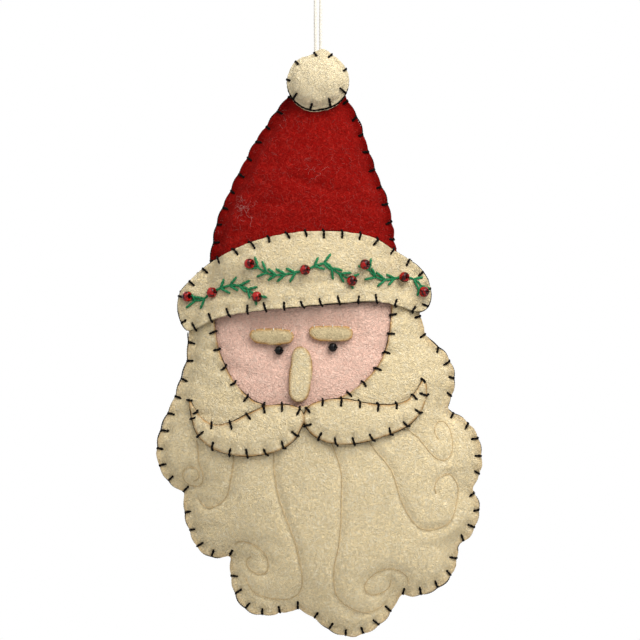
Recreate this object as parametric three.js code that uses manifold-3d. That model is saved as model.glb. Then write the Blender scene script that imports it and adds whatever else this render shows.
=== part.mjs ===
// A flat stuffed ornament of wool felt: a bearded winter head in a tall hat, on a hanging loop of cord.
// Millimetres. X runs to the right, the face looks along -Y, Z is up. The origin is the point that hangs on a
// hook, the inside top of the loop. Inside the group below, Z is counted from the joint line, where hat and
// beard meet under the band.

import * as THREE from 'three';
import { mergeVertices } from 'three/addons/utils/BufferGeometryUtils.js';
import Module from 'manifold-3d';

const wasm = await Module();
wasm.setup();

// Felt and filling
const feltThickness = 1.2;
const touch = 0.3;
const flangeWidth = 2.5;
const frontCrown = 11.5;
const backCrown = 10;

// Hat, beard and band
const hatWidth = 51.7;
const hatHeight = 56.4;
const beardWidth = 84.8;
const beardDrop = 91.5;
const bandLength = 65.9;
const bandRise = 25.8;

// Face
const windowWidth = 45.6;
const windowDrop = 31.2;
const panelLap = 3;
const noseLength = 14.3;
const noseWidth = 5.5;
const noseSeat = 1.1;
const browLength = 11.6;
const browHeight = 4.2;
const leftBrowLift = 0.3;
const rightBrowLift = 1.1;
const eyeBeadDiameter = 2.3;
const moustacheLeftLength = 30;
const moustacheLeftHeight = 15.1;
const moustacheRightLength = 31.8;
const moustacheRightHeight = 16.9;
const moustacheSeat = 3.6;

// Sewing and trim
const threadDiameter = 0.56;
const stitchPitch = 4.7;
const backStitchPitch = 6.6;
const stitchReach = 2.1;
const vineThreadDiameter = 0.5;
const leafLength = 2.5;
const leafPitch = 3.1;
const berryBeadDiameter = 2.6;
const beadBore = 0.8;
const curlThreadDiameter = 0.42;

// Pompom
const pompomDiameter = 16.2;
const pompomCrown = 3.6;
const pompomBelowTip = 3.4;
const pompomFlange = 1.9;

// Hanging loop
const cordDiameter = 0.9;
const strandSpacing = 1.3;
const tailLength = 9;
const knotWidth = 2.4;

// How finely the outlines, the domes and the cord are divided
const outlineStep = 3.1;
const ringStep = 5.6;
const latticeStep = 11;
const rimStep = 0.8;
const threadSag = 0.16;
const cellShare = 1 / 56;
const cordSteps = 38;
const threadSides = 3;

const feltCream = { color: 0xe3d3ae, roughness: 0.95, metalness: 0 };
const feltRed = { color: 0x9a1418, roughness: 0.95, metalness: 0 };
const feltPink = { color: 0xe6b8ae, roughness: 0.95, metalness: 0 };
const fibreWhite = { color: 0xf2efe8, roughness: 1, metalness: 0 };
const threadBlack = { color: 0x121212, roughness: 0.7, metalness: 0 };
const threadGreen = { color: 0x1d8048, roughness: 0.6, metalness: 0 };
const threadTan = { color: 0xd8bd86, roughness: 0.6, metalness: 0 };
const cordWhite = { color: 0xf0ebdf, roughness: 0.7, metalness: 0 };
const glassRed = { color: 0x8e1016, roughness: 0.12, metalness: 0 };
const glassBlack = { color: 0x0a0a0a, roughness: 0.1, metalness: 0 };

// Outlines, as shares of a piece's own width and height, seen from the front
const hatShares = [
  [-0.578, 0], [-0.538, 0.152], [-0.51, 0.29], [-0.458, 0.41], [-0.387, 0.544], [-0.307, 0.678],
  [-0.221, 0.788], [-0.156, 0.867], [-0.085, 0.963], [0, 1], [0.08, 0.963], [0.151, 0.857],
  [0.211, 0.747], [0.262, 0.609], [0.307, 0.493], [0.35, 0.392], [0.377, 0.29], [0.397, 0.152],
  [0.422, 0],
];
const beardLobeShares = [
  [[-0.374, 0], [-0.392, -0.077], [-0.399, -0.156]],
  [[-0.399, -0.156], [-0.405, -0.216], [-0.438, -0.307], [-0.484, -0.412], [-0.497, -0.475],
    [-0.484, -0.526], [-0.454, -0.563], [-0.411, -0.591]],
  [[-0.411, -0.591], [-0.411, -0.645], [-0.396, -0.699], [-0.368, -0.75], [-0.322, -0.774],
    [-0.268, -0.77]],
  [[-0.268, -0.77], [-0.271, -0.818], [-0.254, -0.881], [-0.215, -0.926], [-0.159, -0.939],
    [-0.055, -0.921]],
  [[-0.055, -0.921], [-0.006, -0.952], [0.046, -0.986], [0.101, -1], [0.163, -0.983], [0.212, -0.946],
    [0.254, -0.881]],
  [[0.254, -0.881], [0.304, -0.884], [0.368, -0.861], [0.411, -0.824], [0.429, -0.776], [0.428, -0.739]],
  [[0.428, -0.739], [0.463, -0.719], [0.489, -0.673], [0.497, -0.628], [0.475, -0.574]],
  [[0.475, -0.574], [0.498, -0.537], [0.504, -0.489], [0.491, -0.426], [0.454, -0.382], [0.396, -0.35]],
  [[0.396, -0.35], [0.417, -0.301], [0.419, -0.247], [0.396, -0.196], [0.337, -0.145], [0.316, -0.08],
    [0.297, 0]],
];
const bandShares = [
  [-0.554, -0.202], [-0.544, -0.071], [-0.517, 0.013], [-0.462, 0.151], [-0.38, 0.292], [-0.251, 0.438],
  [-0.105, 0.52], [0.055, 0.537], [0.208, 0.485], [0.299, 0.353], [0.388, 0.204], [0.432, 0.06],
  [0.447, -0.109], [0.43, -0.232], [0.398, -0.275], [0.313, -0.212], [0.235, -0.174], [0.082, -0.186],
  [-0.099, -0.23], [-0.258, -0.272], [-0.4, -0.343], [-0.482, -0.447], [-0.517, -0.459], [-0.543, -0.353],
];
const windowShares = [
  [-0.587, 0], [-0.584, -0.3], [-0.573, -0.458], [-0.53, -0.656], [-0.45, -0.842], [-0.363, -0.958],
  [-0.262, -0.996], [-0.088, -1], [0.089, -0.942], [0.182, -0.883], [0.314, -0.713], [0.379, -0.542],
  [0.411, -0.292], [0.413, 0],
];
const moustacheLeftShares = [
  [-0.012, 0.017], [-0.045, 0.189], [-0.154, 0.267], [-0.324, 0.241], [-0.48, 0.107], [-0.637, -0.041],
  [-0.787, -0.069], [-0.891, 0.062], [-0.96, 0.258], [-0.995, 0.374], [-0.969, 0.017], [-0.92, -0.263],
  [-0.831, -0.443], [-0.712, -0.56], [-0.544, -0.625], [-0.362, -0.603], [-0.206, -0.517],
  [-0.085, -0.353], [-0.025, -0.155],
];
const moustacheRightShares = [
  [0.014, 0.015], [0.059, 0.223], [0.173, 0.308], [0.337, 0.323], [0.525, 0.254], [0.737, 0.242],
  [0.844, 0.308], [0.917, 0.462], [0.975, 0.625], [1.004, 0.477], [0.983, 0.231], [0.92, 0.031],
  [0.836, -0.103], [0.723, -0.209], [0.596, -0.289], [0.455, -0.354], [0.286, -0.374], [0.145, -0.315],
  [0.047, -0.183],
];
const browShares = [
  [-0.5, -0.1], [-0.4, 0.28], [-0.12, 0.46], [0.2, 0.5], [0.43, 0.34], [0.5, -0.05], [0.38, -0.38],
  [0.02, -0.5], [-0.34, -0.46],
];

// Places on the face, as shares of the window's width
const noseFootShare = -0.109;
const noseTopShare = -0.092;
const noseTopRadiusShare = 0.46;
const leftBrowShare = -0.262;
const rightBrowShare = 0.073;
const leftEyeShare = -0.22;
const rightEyeShare = 0.084;
const moustacheMeetShare = -0.08;

// Sprigs on the band, as shares of its length and rise, and how far along each its middle berry sits
const vineShares = {
  left: [[-0.515, -0.116], [-0.489, -0.151], [-0.455, -0.151], [-0.414, -0.071], [-0.339, -0.005],
    [-0.284, -0.03], [-0.239, -0.121]],
  middle: [[-0.268, 0.209], [-0.245, 0.186], [-0.183, 0.101], [-0.108, 0.111], [-0.051, 0.146],
    [0.034, 0.212], [0.063, 0.141], [0.133, 0.04]],
  right: [[0.184, 0.202], [0.225, 0.081], [0.264, 0.05], [0.34, 0.078], [0.391, 0.04], [0.418, -0.069]],
};
const middleBerryShares = { left: 0.37, middle: 0.53, right: 0.64 };

// Embroidered curls of the beard, from the moustache down, as shares of the beard's width and drop
const curlShares = [
  [[-0.42, -0.398], [-0.405, -0.44], [-0.399, -0.483], [-0.405, -0.526], [-0.392, -0.565],
    [-0.362, -0.568], [-0.353, -0.543], [-0.374, -0.526]],
  [[-0.24, -0.43], [-0.254, -0.497], [-0.264, -0.54], [-0.274, -0.594], [-0.297, -0.618],
    [-0.331, -0.631], [-0.365, -0.611]],
  [[-0.133, -0.43], [-0.133, -0.526], [-0.116, -0.608], [-0.078, -0.693], [-0.056, -0.807],
    [-0.054, -0.85], [-0.075, -0.882], [-0.11, -0.894], [-0.184, -0.882], [-0.212, -0.855],
    [-0.223, -0.824]],
  [[-0.254, -0.732], [-0.216, -0.729], [-0.174, -0.748], [-0.151, -0.797], [-0.167, -0.82],
    [-0.198, -0.814], [-0.215, -0.787]],
  [[0.035, -0.43], [0.069, -0.523], [0.071, -0.605], [0.065, -0.725], [0.048, -0.807], [0.055, -0.875],
    [0.078, -0.901], [0.123, -0.923], [0.18, -0.921], [0.224, -0.893], [0.235, -0.862]],
  [[0.278, -0.843], [0.25, -0.807], [0.215, -0.801], [0.176, -0.814], [0.147, -0.838], [0.147, -0.87],
    [0.167, -0.881], [0.196, -0.864]],
  [[0.14, -0.42], [0.166, -0.457], [0.222, -0.523], [0.257, -0.618], [0.299, -0.679], [0.334, -0.693],
    [0.401, -0.673], [0.426, -0.611], [0.401, -0.556], [0.366, -0.563], [0.362, -0.588]],
  [[0.25, -0.38], [0.279, -0.412], [0.344, -0.474], [0.386, -0.497], [0.411, -0.47], [0.404, -0.415],
    [0.379, -0.392], [0.356, -0.406], [0.368, -0.432]],
];

// Half of the hanging loop's route from the hat's tip to the loop's top: half the width there and the height
const loopRise = 62.4;
const loopRoute = [
  [0.65, 0], [0.65, 4], [0.66, 8], [0.68, 12], [0.7, 17], [0.8, 23], [0.98, 29], [1.25, 35], [1.6, 41],
  [2, 47], [2.35, 52], [2.56, 56], [2.5, 59], [1.95, 61.1], [1, 62.15],
];

// Flat outlines

function flatCurve(shares, width, height, closed = false, centre = new THREE.Vector2()) {
  const points = shares.map(([across, up]) => (
    new THREE.Vector3(centre.x + across * width, centre.y + up * height, 0)));
  return new THREE.CatmullRomCurve3(points, closed, 'centripetal');
}

function flatLine(curve, step = outlineStep) {
  const points = curve.getSpacedPoints(Math.ceil(curve.getLength() / step));
  const line = points.map(({ x, y }) => new THREE.Vector2(x, y));
  return curve.closed ? line.slice(0, -1) : line;
}

function distanceTo(point, line, closed = true) {
  let least = Infinity;
  for (let i = closed ? 0 : 1; i < line.length; i += 1) {
    const start = line[(i + line.length - 1) % line.length];
    const end = line[i];
    const runX = end.x - start.x;
    const runY = end.y - start.y;
    const squared = runX * runX + runY * runY || 1;
    const toX = point.x - start.x;
    const toY = point.y - start.y;
    const share = THREE.MathUtils.clamp((toX * runX + toY * runY) / squared, 0, 1);
    least = Math.min(least, Math.hypot(toX - share * runX, toY - share * runY));
  }
  return least;
}

function isInside(point, line) {
  let inside = false;
  line.forEach((end, i) => {
    const start = line[(i + line.length - 1) % line.length];
    if ((end.y > point.y) === (start.y > point.y)) return;
    const crossing = ((start.x - end.x) * (point.y - end.y)) / (start.y - end.y) + end.x;
    if (point.x < crossing) inside = !inside;
  });
  return inside;
}

// How deep a point lies in an outline, negative outside it
const depthIn = (point, line) => (isInside(point, line) ? 1 : -1) * distanceTo(point, line);

// A finely divided copy of an outline with its outward direction, moved out (or in) by an offset. Points that
// a notch would bring too near the outline again are left out.
function rim(line, offset, step = rimStep) {
  const fine = [];
  line.forEach((start, i) => {
    const end = line[(i + 1) % line.length];
    const parts = Math.max(1, Math.round(start.distanceTo(end) / step));
    for (let k = 0; k < parts; k += 1) fine.push(start.clone().lerp(end, k / parts));
  });
  const turn = Math.sign(THREE.ShapeUtils.area(line));
  const samples = fine.map((edge, i) => {
    const before = fine[(i + fine.length - 1) % fine.length];
    const along = fine[(i + 1) % fine.length].clone().sub(before).normalize();
    const out = new THREE.Vector2(along.y, -along.x).multiplyScalar(turn);
    return { edge, out, at: edge.clone().addScaledVector(out, offset) };
  });
  const nearShare = 0.93;
  return samples.filter(({ at }) => distanceTo(at, line) > nearShare * Math.abs(offset));
}

// The longest unbroken run of samples that a test keeps, on a closed rim
function longestRun(samples, keep) {
  const kept = samples.map(keep);
  if (kept.every(Boolean)) return samples;
  let best = [];
  samples.forEach((sample, i) => {
    if (!kept[i] || kept[(i + samples.length - 1) % samples.length]) return;
    const run = [];
    for (let k = i; kept[k % samples.length] && run.length < samples.length; k += 1) {
      run.push(samples[k % samples.length]);
    }
    if (run.length > best.length) best = run;
  });
  return best;
}

// Samples at least a pitch apart along a run
function everyPitch(samples, pitch, start = 0) {
  const picked = [];
  let travelled = pitch - start;
  samples.forEach((sample, i) => {
    if (i > 0) travelled += sample.at.distanceTo(samples[i - 1].at);
    if (travelled < pitch) return;
    picked.push(sample);
    travelled = 0;
  });
  return picked;
}

// The points of a rim at least a step apart
const spacedRim = (line, offset, step) => everyPitch(rim(line, offset), step).map(({ at }) => at);

const hatOutline = flatLine(flatCurve(hatShares, hatWidth, hatHeight));
const beardOutline = beardLobeShares.flatMap((shares, i) => {
  const lobe = flatLine(flatCurve(shares, beardWidth, beardDrop));
  return i === 0 ? lobe : lobe.slice(1);
});
const silhouette = [...beardOutline, ...hatOutline.slice().reverse()];
const bandOutline = flatLine(flatCurve(bandShares, bandLength, bandRise, true));
const windowOutline = flatLine(flatCurve(windowShares, windowWidth, windowDrop));
const moustacheMeet = new THREE.Vector2(moustacheMeetShare * windowWidth, -windowDrop - moustacheSeat);
const moustacheLine = (shares, length, height) => (
  flatLine(flatCurve(shares, length, height, true, moustacheMeet)));
const moustacheOutlines = {
  left: moustacheLine(moustacheLeftShares, moustacheLeftLength, moustacheLeftHeight),
  right: moustacheLine(moustacheRightShares, moustacheRightLength, moustacheRightHeight),
};
const pompomCentre = new THREE.Vector2(0, hatHeight - pompomBelowTip);

// The dome: how far the filling lifts the felt, from 0 on the sewn flange to 1 at the crown, as a stretched
// membrane over the outline would rise

function membrane() {
  const box = new THREE.Box2().setFromPoints(silhouette);
  const cell = beardWidth * cellShare;
  const columns = Math.ceil((box.max.x - box.min.x) / cell) + 1;
  const rows = Math.ceil((box.max.y - box.min.y) / cell) + 1;
  const height = new Float64Array(columns * rows);
  const loose = [];
  for (let row = 1; row < rows - 1; row += 1) {
    for (let column = 1; column < columns - 1; column += 1) {
      const point = new THREE.Vector2(box.min.x + column * cell, box.min.y + row * cell);
      if (depthIn(point, silhouette) > flangeWidth) loose.push(row * columns + column);
    }
  }
  const relaxation = 1.85;
  const sweeps = 260;
  for (let sweep = 0; sweep < sweeps; sweep += 1) {
    loose.forEach((i) => {
      const level = (height[i - 1] + height[i + 1] + height[i - columns] + height[i + columns] + 1) / 4;
      height[i] += relaxation * (level - height[i]);
    });
  }
  const highest = height.reduce((most, value) => Math.max(most, value), 0);
  const fullness = 0.55;
  return (point) => {
    if (depthIn(point, silhouette) <= flangeWidth) return 0;
    const across = (point.x - box.min.x) / cell;
    const up = (point.y - box.min.y) / cell;
    const column = THREE.MathUtils.clamp(Math.floor(across), 0, columns - 2);
    const row = THREE.MathUtils.clamp(Math.floor(up), 0, rows - 2);
    const corner = row * columns + column;
    const above = corner + columns;
    const low = THREE.MathUtils.lerp(height[corner], height[corner + 1], across - column);
    const high = THREE.MathUtils.lerp(height[above], height[above + 1], across - column);
    return (THREE.MathUtils.lerp(low, high, up - row) / highest) ** fullness;
  };
}

// One set of facets that every layer shares, so that layers lie parallel and never cross

function delaunay(points) {
  const span = new THREE.Box2().setFromPoints(points).getSize(new THREE.Vector2()).length();
  const farShares = [[-20, -10], [20, -10], [0, 20]];
  const far = farShares.map(([x, y]) => new THREE.Vector2(x * span, y * span));
  const all = [...points, ...far];
  const circle = ([a, b, c]) => {
    const abX = all[b].x - all[a].x;
    const abY = all[b].y - all[a].y;
    const acX = all[c].x - all[a].x;
    const acY = all[c].y - all[a].y;
    const twice = 2 * (abX * acY - abY * acX);
    const ab = abX * abX + abY * abY;
    const ac = acX * acX + acY * acY;
    const x = (acY * ab - abY * ac) / twice;
    const y = (abX * ac - acX * ab) / twice;
    return { corners: [a, b, c], x: all[a].x + x, y: all[a].y + y, squared: x * x + y * y };
  };
  let triangles = [circle([points.length, points.length + 1, points.length + 2])];
  points.forEach((point, i) => {
    const hit = ({ x, y, squared }) => (point.x - x) ** 2 + (point.y - y) ** 2 < squared;
    const edges = new Map();
    triangles.filter(hit).forEach(({ corners: [a, b, c] }) => {
      [[a, b], [b, c], [c, a]].forEach(([from, to]) => {
        if (!edges.delete(`${to} ${from}`)) edges.set(`${from} ${to}`, [from, to]);
      });
    });
    triangles = triangles.filter((triangle) => !hit(triangle));
    edges.forEach(([from, to]) => triangles.push(circle([from, to, i])));
  });
  const isOwn = (corner) => corner < points.length;
  return triangles.map(({ corners }) => corners).filter((corners) => corners.every(isOwn));
}

const channelHalf = strandSpacing / 2 + cordDiameter / 2 + 2 * touch;
const channelRows = 4;
const lapEdge = 2 * touch + threadDiameter / 3;
const pinchWidth = 2 * feltThickness;
const ringNearShare = 0.45;
const latticeNearShare = 0.66;

function chooseSites() {
  const sites = [];
  const add = (points, spacing) => points.forEach((point) => {
    if (sites.every((site) => site.distanceTo(point) >= spacing)) sites.push(point);
  });
  const channelTop = hatHeight + 2 * touch;
  const channelStep = (tailLength + 2 * touch) / (channelRows - 1);
  for (let row = 0; row < channelRows; row += 1) {
    const down = row * channelStep;
    add([-channelHalf, 0, channelHalf].map((x) => new THREE.Vector2(x, channelTop - down)), touch);
  }
  [-flangeWidth, -2 * flangeWidth, lapEdge, lapEdge + pinchWidth].forEach((offset) => {
    add(spacedRim(silhouette, offset, ringStep), ringNearShare * ringStep);
  });
  const outlines = [silhouette, bandOutline, moustacheOutlines.left, moustacheOutlines.right];
  const box = new THREE.Box2().setFromPoints(outlines.flat());
  box.expandByScalar(2 * ringStep);
  const rowStep = latticeStep * Math.sqrt(3) / 2;
  for (let row = 0; box.min.y + row * rowStep <= box.max.y; row += 1) {
    const shift = (row % 2) * latticeStep / 2;
    for (let x = box.min.x + shift; x <= box.max.x; x += latticeStep) {
      const point = new THREE.Vector2(x, box.min.y + row * rowStep);
      add([point], isInside(point, silhouette) ? latticeNearShare * latticeStep : ringStep);
    }
  }
  const corners = [[-1, -1], [1, -1], [-1, 1], [1, 1]];
  const middle = box.getCenter(new THREE.Vector2());
  const half = box.getSize(new THREE.Vector2()).multiplyScalar(0.5).addScalar(latticeStep);
  add(corners.map(([x, y]) => new THREE.Vector2(middle.x + x * half.x, middle.y + y * half.y)), touch);
  return sites;
}

const sites = chooseSites();
const facets = delaunay(sites);
const dome = membrane();
const channelLevel = cordDiameter / 2 + touch + touch / 3;

function domeLevels(crown) {
  return sites.map((site) => {
    const level = touch / 2 + crown * dome(site);
    const inChannel = Math.abs(site.x) <= channelHalf && site.y > hatHeight - tailLength - 2 * touch;
    return inChannel ? Math.max(level, channelLevel) : level;
  });
}

// The band lies on hat and beard and pinches together past their edge
function bandLevels(levels) {
  return sites.map((site, i) => {
    const past = -depthIn(site, silhouette) - lapEdge;
    const pinch = THREE.MathUtils.clamp(1 - past / pinchWidth, 0, 1);
    return levels[i] + (feltThickness + touch) * pinch;
  });
}

const front = { side: -1, levels: domeLevels(frontCrown) };
const back = { side: 1, levels: domeLevels(backCrown) };
const bandFront = { side: -1, levels: bandLevels(front.levels) };
const bandBack = { side: 1, levels: bandLevels(back.levels) };

// A point of the front or back at a height over one of its layers, measured square to the felt
function place(point, { side, levels }, layer, height) {
  for (const [a, b, c] of facets) {
    const abX = sites[b].x - sites[a].x;
    const abY = sites[b].y - sites[a].y;
    const acX = sites[c].x - sites[a].x;
    const acY = sites[c].y - sites[a].y;
    const area = abX * acY - abY * acX;
    const toX = point.x - sites[a].x;
    const toY = point.y - sites[a].y;
    const shareB = (toX * acY - toY * acX) / area;
    const shareC = (abX * toY - abY * toX) / area;
    if (shareB >= 0 && shareC >= 0 && shareB + shareC <= 1) {
      const riseB = levels[b] - levels[a];
      const riseC = levels[c] - levels[a];
      const slope = Math.hypot((riseB * acY - riseC * abY) / area, (riseC * abX - riseB * acX) / area);
      const level = levels[a] + shareB * riseB + shareC * riseC;
      return new THREE.Vector3(point.x, side * (level + layer + height * Math.hypot(1, slope)), point.y);
    }
  }
  throw new Error('a point lies outside the facets');
}

// Solids

function solid(geometry) {
  const bare = geometry.clone();
  ['normal', 'uv'].forEach((name) => bare.deleteAttribute(name));
  const merged = mergeVertices(bare);
  return new wasm.Manifold(new wasm.Mesh({
    numProp: 3,
    vertProperties: Float32Array.from(merged.attributes.position.array),
    triVerts: Uint32Array.from(merged.index.array),
  }));
}

function geometryOf(body) {
  const mesh = body.getMesh();
  const geometry = new THREE.BufferGeometry();
  geometry.setAttribute('position', new THREE.BufferAttribute(Float32Array.from(mesh.vertProperties), 3));
  geometry.setIndex(new THREE.BufferAttribute(Uint32Array.from(mesh.triVerts), 1));
  geometry.computeVertexNormals();
  return geometry;
}

// The closed space between two levels over all the facets
function slab(inner, outer) {
  const count = sites.length;
  const position = [];
  const index = [];
  [inner, outer].forEach(({ side, levels, layer }) => sites.forEach((site, i) => {
    position.push(site.x, side * (levels[i] + layer), site.y);
  }));
  const rims = new Map();
  facets.forEach(([a, b, c]) => {
    index.push(a, b, c, a + count, c + count, b + count);
    [[a, b], [b, c], [c, a]].forEach(([from, to]) => {
      if (!rims.delete(`${to} ${from}`)) rims.set(`${from} ${to}`, [from, to]);
    });
  });
  rims.forEach(([from, to]) => index.push(to, from, from + count, to, from + count, to + count));
  if (outer.side < 0) index.reverse();
  const geometry = new THREE.BufferGeometry();
  geometry.setAttribute('position', new THREE.Float32BufferAttribute(position, 3));
  geometry.setIndex(index);
  return solid(geometry);
}

const layerOf = (face, from, thickness) => (
  slab({ ...face, layer: from }, { ...face, layer: from + thickness }));

const cutDepth = 4 * (frontCrown + backCrown + 4 * feltThickness);

function prism(line) {
  const options = { depth: cutDepth, bevelEnabled: false, steps: 1 };
  return solid(new THREE.ExtrudeGeometry(new THREE.Shape(line), options)
    .translate(0, 0, -cutDepth / 2)
    .rotateX(Math.PI / 2));
}

// A line of points as an extrude path that passes exactly through each point and doesn't twist about an axis
class PointPath extends THREE.Curve {
  constructor(points, axis) {
    super();
    this.points = points;
    this.axis = axis;
  }

  getPoint(share) {
    const step = share * (this.points.length - 1);
    const i = Math.min(Math.floor(step), this.points.length - 2);
    return this.points[i].clone().lerp(this.points[i + 1], step - i);
  }

  getPointAt(share) {
    return this.getPoint(share);
  }

  getTangentAt(share) {
    const i = Math.round(share * (this.points.length - 1));
    const ahead = this.points[Math.min(i + 1, this.points.length - 1)];
    return ahead.clone().sub(this.points[Math.max(i - 1, 0)]).normalize();
  }

  computeFrenetFrames(segments) {
    const tangents = Array.from({ length: segments + 1 }, (_, i) => this.getTangentAt(i / segments));
    const normals = tangents.map((tangent) => this.axis.clone().cross(tangent).normalize());
    return { tangents, normals, binormals: tangents.map((tangent, i) => tangent.clone().cross(normals[i])) };
  }
}

const depthAxis = new THREE.Vector3(0, 1, 0);

function tube(points, diameter, { sides = threadSides, axis = depthAxis } = {}) {
  const section = new THREE.Shape(Array.from({ length: sides }, (_, i) => {
    const turn = ((i + 0.5) / sides) * 2 * Math.PI;
    return new THREE.Vector2(Math.cos(turn), Math.sin(turn)).multiplyScalar(diameter / 2);
  }));
  const extrudePath = new PointPath(points, axis);
  return new THREE.ExtrudeGeometry(section, { steps: points.length - 1, extrudePath, bevelEnabled: false });
}

// The points of a line that a thread needs to stay within its sag of every sample, its knots among them
function follow(samples, toPoint, knots = []) {
  const points = samples.map(toPoint);
  const split = (from, to) => {
    const chord = new THREE.Line3(points[from], points[to]);
    const strays = points.slice(from + 1, to).map((point) => (
      chord.closestPointToPoint(point, true, new THREE.Vector3()).distanceTo(point)));
    const worst = Math.max(0, ...strays);
    if (worst <= threadSag) return [points[to]];
    const middle = from + 1 + strays.indexOf(worst);
    return [...split(from, middle), ...split(middle, to)];
  };
  const stops = [0, ...knots.filter((i) => i > 0 && i < points.length - 1), points.length - 1];
  return [points[0], ...stops.slice(1).flatMap((stop, i) => split(stops[i], stop))];
}

const joinTubes = (lines, diameter) => wasm.Manifold.union(lines.map((line) => solid(tube(line, diameter))));

// Pieces

const ornament = new THREE.Group();
ornament.position.z = -(hatHeight + touch + loopRise - cordDiameter / 2);

function add(name, geometry, finish) {
  const mesh = new THREE.Mesh(geometry, new THREE.MeshStandardMaterial(finish));
  mesh.name = name;
  ornament.add(mesh);
}

const addSolid = (name, body, finish) => add(name, geometryOf(body), finish);

// Felt panels: the outline stops half a gap short of the joint line
function raised(line, towards) {
  return line.map((point) => (point.y === 0 ? new THREE.Vector2(point.x, towards * touch / 2) : point));
}

const hatPrism = prism(raised(hatOutline, 1));
const beardPrism = prism(raised(beardOutline, -1));
const overJoint = (height) => [
  new THREE.Vector2(windowOutline.at(-1).x, height),
  new THREE.Vector2(windowOutline[0].x, height),
];
const windowPrism = prism([...windowOutline, ...overJoint(flangeWidth)]);
const panelPrism = prism(spacedRim([...windowOutline, ...overJoint(touch)], panelLap, outlineStep));
const panelInset = 1.5 * flangeWidth;
const panelLimit = prism(spacedRim(silhouette, -panelInset, ringStep / 2));

const frontFelt = layerOf(front, 0, feltThickness);
const backFelt = layerOf(back, 0, feltThickness);
addSolid('hat_front', frontFelt.intersect(hatPrism), feltRed);
addSolid('hat_back', backFelt.intersect(hatPrism), feltRed);
addSolid('beard_front', frontFelt.intersect(beardPrism).subtract(windowPrism), feltCream);
addSolid('beard_back', backFelt.intersect(beardPrism), feltCream);
const panelLayer = layerOf(front, -feltThickness - touch, feltThickness);
addSolid('face_panel', panelLayer.intersect(panelPrism).intersect(panelLimit), feltPink);
addSolid('hat_band_front', layerOf(bandFront, 0, feltThickness).intersect(prism(bandOutline)), feltCream);
addSolid('hat_band_back', layerOf(bandBack, 0, feltThickness).intersect(prism(bandOutline)), feltCream);

// The filling stops below the hat's narrow tip
const fillingTopShare = 0.68;
const fillingInner = { ...back, layer: -touch };
const fillingOuter = { ...front, layer: -feltThickness - 2 * touch };
const fillingTop = fillingTopShare * hatHeight;
const fillingInset = 2 * flangeWidth;
const fillingOutline = spacedRim(silhouette, -fillingInset, ringStep / 2).filter(({ y }) => y < fillingTop);
addSolid('stuffing', slab(fillingInner, fillingOuter).intersect(prism(fillingOutline)), fibreWhite);

// Face
const appliedLayer = feltThickness + touch;
const appliedFelt = layerOf(front, appliedLayer, feltThickness);
Object.entries(moustacheOutlines).forEach(([name, line]) => {
  addSolid(`moustache_${name}`, appliedFelt.intersect(prism(line)), feltCream);
});

const noseFoot = -windowDrop + noseSeat;
const noseTop = noseFoot + noseLength;
function noseOutline() {
  const footRadius = noseWidth / 2;
  const topRadius = noseTopRadiusShare * noseWidth;
  const foot = new THREE.Vector2(noseFootShare * windowWidth, noseFoot + footRadius);
  const top = new THREE.Vector2(noseTopShare * windowWidth, noseTop - topRadius);
  const lean = Math.atan2(foot.x - top.x, top.y - foot.y);
  const path = new THREE.Path();
  path.absarc(foot.x, foot.y, footRadius, Math.PI + lean, 2 * Math.PI + lean, false);
  path.absarc(top.x, top.y, topRadius, lean, Math.PI + lean, false);
  const arcDivisions = 7;
  return path.getPoints(arcDivisions);
}
addSolid('nose', frontFelt.intersect(prism(noseOutline())), feltCream);

const browFoot = { left: noseTop + leftBrowLift, right: noseTop + rightBrowLift };
const browAcross = { left: leftBrowShare * windowWidth, right: rightBrowShare * windowWidth };
const eyeAcross = { left: leftEyeShare * windowWidth, right: rightEyeShare * windowWidth };

// A glass bead with its bore across the face
const beadHalfShare = 0.42;
const beadShoulderShare = 0.72;
const beadSegments = 7;
function bead(diameter, centre) {
  const half = beadHalfShare * diameter;
  const shoulder = beadShoulderShare * diameter / 2;
  const bore = beadBore / 2;
  const profile = [
    [bore, -half], [shoulder, -half], [diameter / 2, 0], [shoulder, half], [bore, half], [bore, -half],
  ];
  return new THREE.LatheGeometry(profile.map(([x, y]) => new THREE.Vector2(x, y)), beadSegments)
    .rotateZ(Math.PI / 2)
    .translate(centre.x, centre.y, centre.z);
}

['left', 'right'].forEach((name) => {
  const centre = new THREE.Vector2(browAcross[name], browFoot[name] + browHeight / 2);
  const line = flatLine(flatCurve(browShares, browLength, browHeight, true, centre), outlineStep / 2);
  addSolid(`eyebrow_${name}`, frontFelt.intersect(prism(line)), feltCream);
  const eye = new THREE.Vector2(eyeAcross[name], browFoot[name] - touch - eyeBeadDiameter / 2);
  add(`eye_bead_${name}`, bead(eyeBeadDiameter, place(eye, front, 0, eyeBeadDiameter / 2)), glassBlack);
});

// Blanket stitches: one thread along the edge with a leg over the felt at every pitch

const threadRadius = threadDiameter / 2;
const legDivisions = 6;
const betweenPoints = (from, to) => Array.from({ length: legDivisions + 1 }, (_, i) => (
  from.clone().lerp(to, i / legDivisions)));
const threadOffset = touch + threadRadius;
const legShare = 0.8;

function stitches(run, purlAt, legOf, pitch = stitchPitch) {
  const legs = everyPitch(run, pitch, pitch / 2);
  const purl = solid(tube(follow(run, purlAt), threadDiameter));
  const legSolids = legs.map((leg) => {
    const axis = new THREE.Vector3(-leg.out.y, 0, leg.out.x);
    return solid(tube(legOf(leg), legShare * threadDiameter, { axis }));
  });
  return wasm.Manifold.union([purl, ...legSolids]);
}

function edgeLeg({ edge, out, at }) {
  const inner = edge.clone().addScaledVector(out, -stitchReach);
  return [
    place(inner, front, feltThickness, threadOffset),
    place(at, front, feltThickness, threadOffset),
    place(at, back, feltThickness, threadOffset),
    place(inner, back, feltThickness, threadOffset),
  ];
}

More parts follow.
